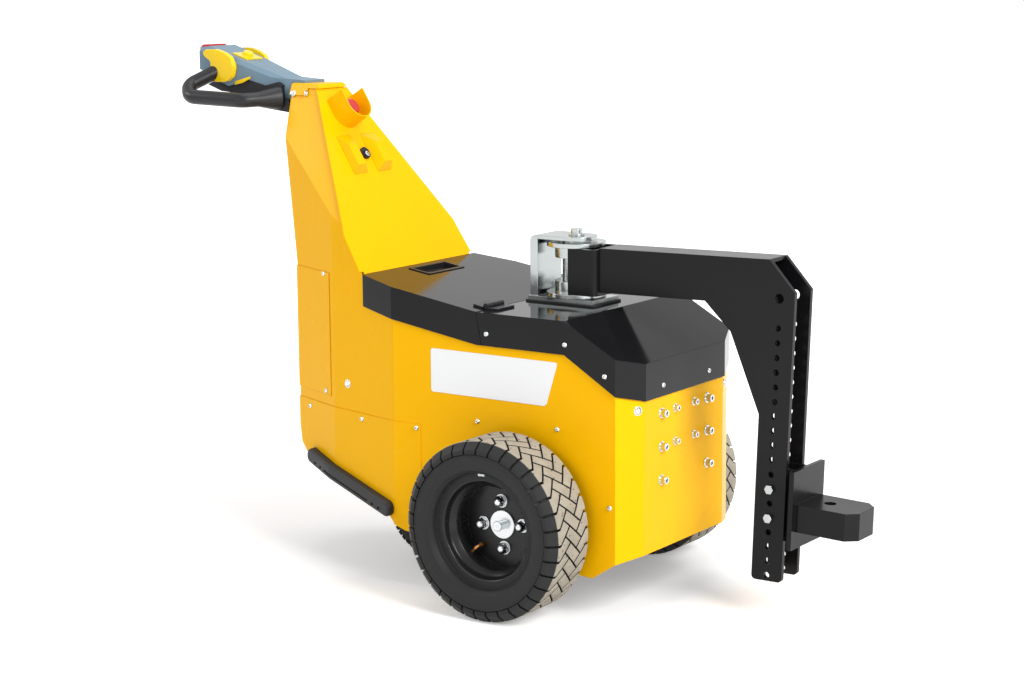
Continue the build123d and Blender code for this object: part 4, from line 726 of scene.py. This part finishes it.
drive_blocks = road_blocks(
    (SIDE_BLOCK, MIDDLE_BLOCK, FAR_SIDE_BLOCK),
    gap=0.0014, depth=0.0088, edge=0.0012, radius=TYRE_RADIUS, crown=0.053, slope=1.0, count=35,
)
drive_carcass = turned(both_ways((
    (179.2, 20), (179, 53), (171, 61), (166, 61.5), (161.6, 66.5), (160.4, 68.6), (158.6, 68.8),
    (157.6, 67.6), (150, 68.2), (138, 67.5), (132, 65.4), (129.4, 65.6), (127.6, 64.4), (126.4, 62.4),
    (123, 59.6), (121.2, 57.0), (119.8, 51.0), (119.5, 46.5), (118.5, 45.4), (106.0, 45.4), (106.0, 41.5),
)), steps=105)
rim_ring = turned(both_ways((
    (87.0, 17.5), (88.6, 20.0), (97.0, 27.6), (100.2, 31.0), (101.0, 36.0), (101.4, 41.0), (103.2, 43.6),
    (106.4, 44.9), (115.8, 45.0), (118.0, 44.6), (118.9, 43.2), (118.2, 41.8), (116.0, 41.4), (107.6, 41.2),
    (105.6, 39.0), (104.6, 32.0), (101.0, 28.4), (92.6, 20.6), (91.0, 17.5),
)), steps=96)
wheel_disc = turned((
    (22.5, -22), (60, -22), (84, -22), (88.6, -21.4), (91.2, -18.6), (92.0, -19.4), (96.5, -25), (97, -30),
    (22.5, -30),
), steps=96)


def make_weld_bead():
    """Slightly uneven weld bead between disc and rim."""
    ring = [
        (BEAD_RADIUS + BEAD_THICKNESS * cos(step * pi / 4), BEAD_HEIGHT + BEAD_THICKNESS * sin(step * pi / 4))
        for step in range(8)
    ]
    bead = turned(ring, steps=120)
    for corner in bead.verts:
        turn = atan2(corner.co.y, corner.co.x)
        corner.co.z += sum(depth * sin(turn * waves + start) for depth, waves, start in BEAD_RIPPLES)
    return bead


def make_hub():
    """Hub with its axle end, and a dome nut on each stud."""
    hub = turned((
        (0, 0.4), (3.0, 0.4), (3.0, 1.0), (9.6, 1.0), (10.5, 0.0), (10.5, -4.0), (9.4, -4.6), (9.4, -17),
        (29.0, -17), (30, -18), (30, -22), (22, -22), (22, -30), (60, -30), (60, -40), (22, -40), (22, -72.7),
        (0, -72.7),
    ), steps=48)
    for number in range(STUD_COUNT):
        turn = Matrix.Rotation(2 * pi * number / STUD_COUNT + STUD_START, 4, "Z")
        stamp(hub, dome_nut, turn @ Matrix.Translation((STUD_CIRCLE, 0.0, STUD_FOOT)))
    return hub


def make_elbow():
    """Round bar bent through a right angle."""
    elbow = bmesh.new()
    bmesh.ops.create_circle(elbow, cap_ends=True, segments=16, radius=0.0042, matrix=STILL)
    bmesh.ops.spin(
        elbow, geom=everything(elbow), cent=(-ELBOW_BEND, 0.0, 0.0), axis=(0.0, 1.0, 0.0), angle=-pi / 2,
        steps=8, use_merge=False, use_duplicate=False,
    )
    bmesh.ops.recalc_face_normals(elbow, faces=elbow.faces)
    return elbow


def make_valve():
    """Bent tyre valve on the rim: base, elbow and stem."""
    base = turned((
        (0, 9.0), (4.0, 9.0), (4.0, -1.0), (7.0, -1.0), (7.4, -2.4), (7.4, -5.0), (0, -5.0),
    ), steps=16)
    stem = turned(((0, 13), (3.2, 13), (4.4, 12.0), (4.9, 3.0), (4.9, -0.4), (0, -0.4)), steps=16)
    inward = Matrix.Rotation(-pi / 2, 4, "Y")
    on_rim = Matrix.Translation((VALVE_RADIUS, 0.0, VALVE_HEIGHT))
    foot = Matrix.Rotation(VALVE_TURN, 4, "Z") @ on_rim @ inward
    valve = gathered((base,), foot)
    stamp(valve, make_elbow(), foot @ Matrix.Translation((0.0, 0.0, ELBOW_START)))
    stamp(valve, stem, foot @ Matrix.Translation((-ELBOW_BEND, 0.0, ELBOW_START + ELBOW_BEND)) @ inward)
    return valve


def make_balance_weight():
    """Weight that clips on the rim's edge."""
    outside = [(WEIGHT_OUTER * cos(turn), WEIGHT_OUTER * sin(turn)) for turn in WEIGHT_TURNS]
    inside = [(WEIGHT_INNER * cos(turn), WEIGHT_INNER * sin(turn)) for turn in reversed(WEIGHT_TURNS)]
    return slab(outside + inside, WEIGHT_LOW, WEIGHT_HIGH, edge=0.0012)


# Pieces of a drive wheel: name, shapes, finish, slot, and the CAD node that it stands for
WHEEL_PIECES = (
    ("road_tyre", (drive_blocks, drive_carcass), tyre_rubber, "tyre_rubber", "drive_tyre"),
    ("road_rim", (rim_ring, wheel_disc, make_weld_bead()), wheel_coat, "black_paint", "drive_rim"),
    ("road_hub", (make_hub(),), bright_steel, "zinc_steel", "wheel_hub"),
    ("tyre_valve", (make_valve(),), brass, "zinc_steel", None),
    ("balance_weight", (make_balance_weight(),), zinc_plate, "zinc_steel", None),
)
for side, hand in (("right", STILL), ("left", MIRROR)):
    centre = hand @ Matrix.Translation((AXLE_X, -WHEEL_TRACK / 2, TYRE_RADIUS)) @ UPRIGHT
    for piece, shapes, finish, slot, node in WHEEL_PIECES:
        stands_for = (f"{node}_{side}",) if node else ()
        mount(f"{piece}_{side}", gathered(shapes, centre), (finish,), f"wheel_{side}", stands_for)


# Castor tyre

CASTOR_COUNT = 56
HALF_PITCH = pi * CASTOR_RADIUS / CASTOR_COUNT / MILLIMETRE
MIDDLE_KNOB = ((-10, -4.6), (10, -4.6), (10, 4.6), (-10, 4.6))
SIDE_KNOB = [
    (across, along + HALF_PITCH)
    for across, along in ((13, -4.6), (31, -4.6), (36, -3.4), (36, 3.4), (31, 4.6), (13, 4.6))
]
FAR_SIDE_KNOB = [(-across, along) for across, along in reversed(SIDE_KNOB)]

castor_blocks = road_blocks(
    (MIDDLE_KNOB, SIDE_KNOB, FAR_SIDE_KNOB),
    gap=0.0003, depth=0.0052, edge=0.0009, radius=CASTOR_RADIUS, crown=0.026, slope=0.9, count=CASTOR_COUNT,
)
castor_carcass = turned(both_ways((
    (120.2, 12), (120, 26), (112, 34), (108, 37), (100, 39.6), (92, 40), (82, 39.2), (74, 36.8), (69, 34.0),
    (66.2, 31.0), (65.4, 26.0),
)), steps=84)
castor_tyre = gathered(
    (castor_blocks, castor_carcass), Matrix.Translation((CASTOR_X, 0.0, CASTOR_RADIUS)) @ UPRIGHT
)
mount("castor_road_tyre", castor_tyre, (castor_rubber,), "castor_wheel", ("castor_tyre",))


# Floor, light and camera

WHITE = (1.0, 1.0, 1.0, 1.0)
FLOOR_TONES = ((0.90, 0.90, 0.90), (0.92, 0.92, 0.92))
FLOOR_GLOW = 0.30
FADE_START = 0.9
FADE_END = 2.2
SKY_LEVEL = 0.36
LAMP_AIM = (0.1, 0.0, 0.5)
CAMERA_AZIMUTH = radians(32.49)
CAMERA_ELEVATION = radians(9.52)
CAMERA_DISTANCE = 4.74004
CAMERA_TARGET = spot(71.29, 0.0, 575.81)


def seen_rays(tree):
    """1 for rays of the camera, of reflections and through glass, 0 for others."""
    path = put(tree, "ShaderNodeLightPath").outputs
    first = worked_out(tree, "ADD", path["Is Camera Ray"], path["Is Glossy Ray"])
    return worked_out(tree, "ADD", first, path["Is Transmission Ray"], clamp=True)


def floor_finish():
    """Pale floor that keeps its shadows and fades to plain white away from the machine."""
    material, tree, shader = finish_of("floor_white", roughness=0.6, specular=0.1)
    place = put(tree, "ShaderNodeTexCoord").outputs["Object"]
    cloud = put(tree, "ShaderNodeTexNoise", Vector=place, Scale=2.0, Detail=3.0)
    tree.links.new(mixed(tree, cloud.outputs["Fac"], *FLOOR_TONES), shader.inputs["Base Color"])
    reach = put(tree, "ShaderNodeVectorMath", {"operation": "LENGTH"}, _0=place)
    fade = span(tree, reach.outputs["Value"], FADE_START, FADE_END, first=FLOOR_GLOW, way="SMOOTHSTEP")
    glow = worked_out(tree, "MULTIPLY", fade, seen_rays(tree))
    shader.inputs["Emission Color"].default_value = WHITE
    tree.links.new(glow, shader.inputs["Emission Strength"])
    return material


def make_floor():
    """Wide plain floor."""
    shape = bmesh.new()
    bmesh.ops.create_grid(shape, x_segments=2, y_segments=2, size=30.0)
    mesh = bpy.data.meshes.new("floor")
    shape.to_mesh(mesh)
    shape.free()
    mesh.materials.append(floor_finish())
    floor = bpy.data.objects.new("floor", mesh)
    scene.collection.objects.link(floor)


def make_world():
    """White surroundings for the camera and reflections, softer light for the object."""
    world = bpy.data.worlds.new("studio")
    scene.world = world
    world.use_nodes = True
    tree = world.node_tree
    sky = tree.nodes["Background"]
    sky.inputs["Color"].default_value = WHITE
    tree.links.new(span(tree, seen_rays(tree), first=SKY_LEVEL), sky.inputs["Strength"])


def make_lamp(name, place, aim, size, power):
    """Soft box lamp at a place, turned to a point."""
    light = bpy.data.lights.new(name, "AREA")
    light.shape = "RECTANGLE"
    light.size, light.size_y = size
    light.energy = power
    lamp = bpy.data.objects.new(name, light)
    lamp.location = place
    lamp.rotation_euler = (Vector(aim) - Vector(place)).to_track_quat("-Z", "Y").to_euler()
    scene.collection.objects.link(lamp)


def make_camera():
    """Long lens at the photograph's angle."""
    across = cos(CAMERA_ELEVATION)
    back = Vector((sin(CAMERA_AZIMUTH) * across, -cos(CAMERA_AZIMUTH) * across, sin(CAMERA_ELEVATION)))
    lens = bpy.data.cameras.new("camera")
    lens.sensor_width = 36.0
    lens.lens = 79.11
    lens.shift_x = -0.0928
    lens.shift_y = -0.0204
    camera = bpy.data.objects.new("camera", lens)
    camera.location = CAMERA_TARGET + back * CAMERA_DISTANCE
    camera.rotation_euler = (-back).to_track_quat("-Z", "Y").to_euler()
    scene.collection.objects.link(camera)
    scene.camera = camera


scene.view_settings.view_transform = "Standard"
make_floor()
make_world()
make_lamp("key_light", place=(3.6, -1.0, 2.8), aim=LAMP_AIM, size=(2.0, 2.0), power=190)
make_lamp("side_light", place=(-0.6, -4.2, 2.4), aim=LAMP_AIM, size=(2.6, 1.8), power=30)
make_lamp("top_light", place=(0.0, 0.4, 3.8), aim=LAMP_AIM, size=(2.4, 2.4), power=45)
make_lamp("rear_box", place=(-2.8, -1.45, 2.35), aim=(-0.45, -0.1, 0.9), size=(0.9, 0.9), power=24)
make_camera()
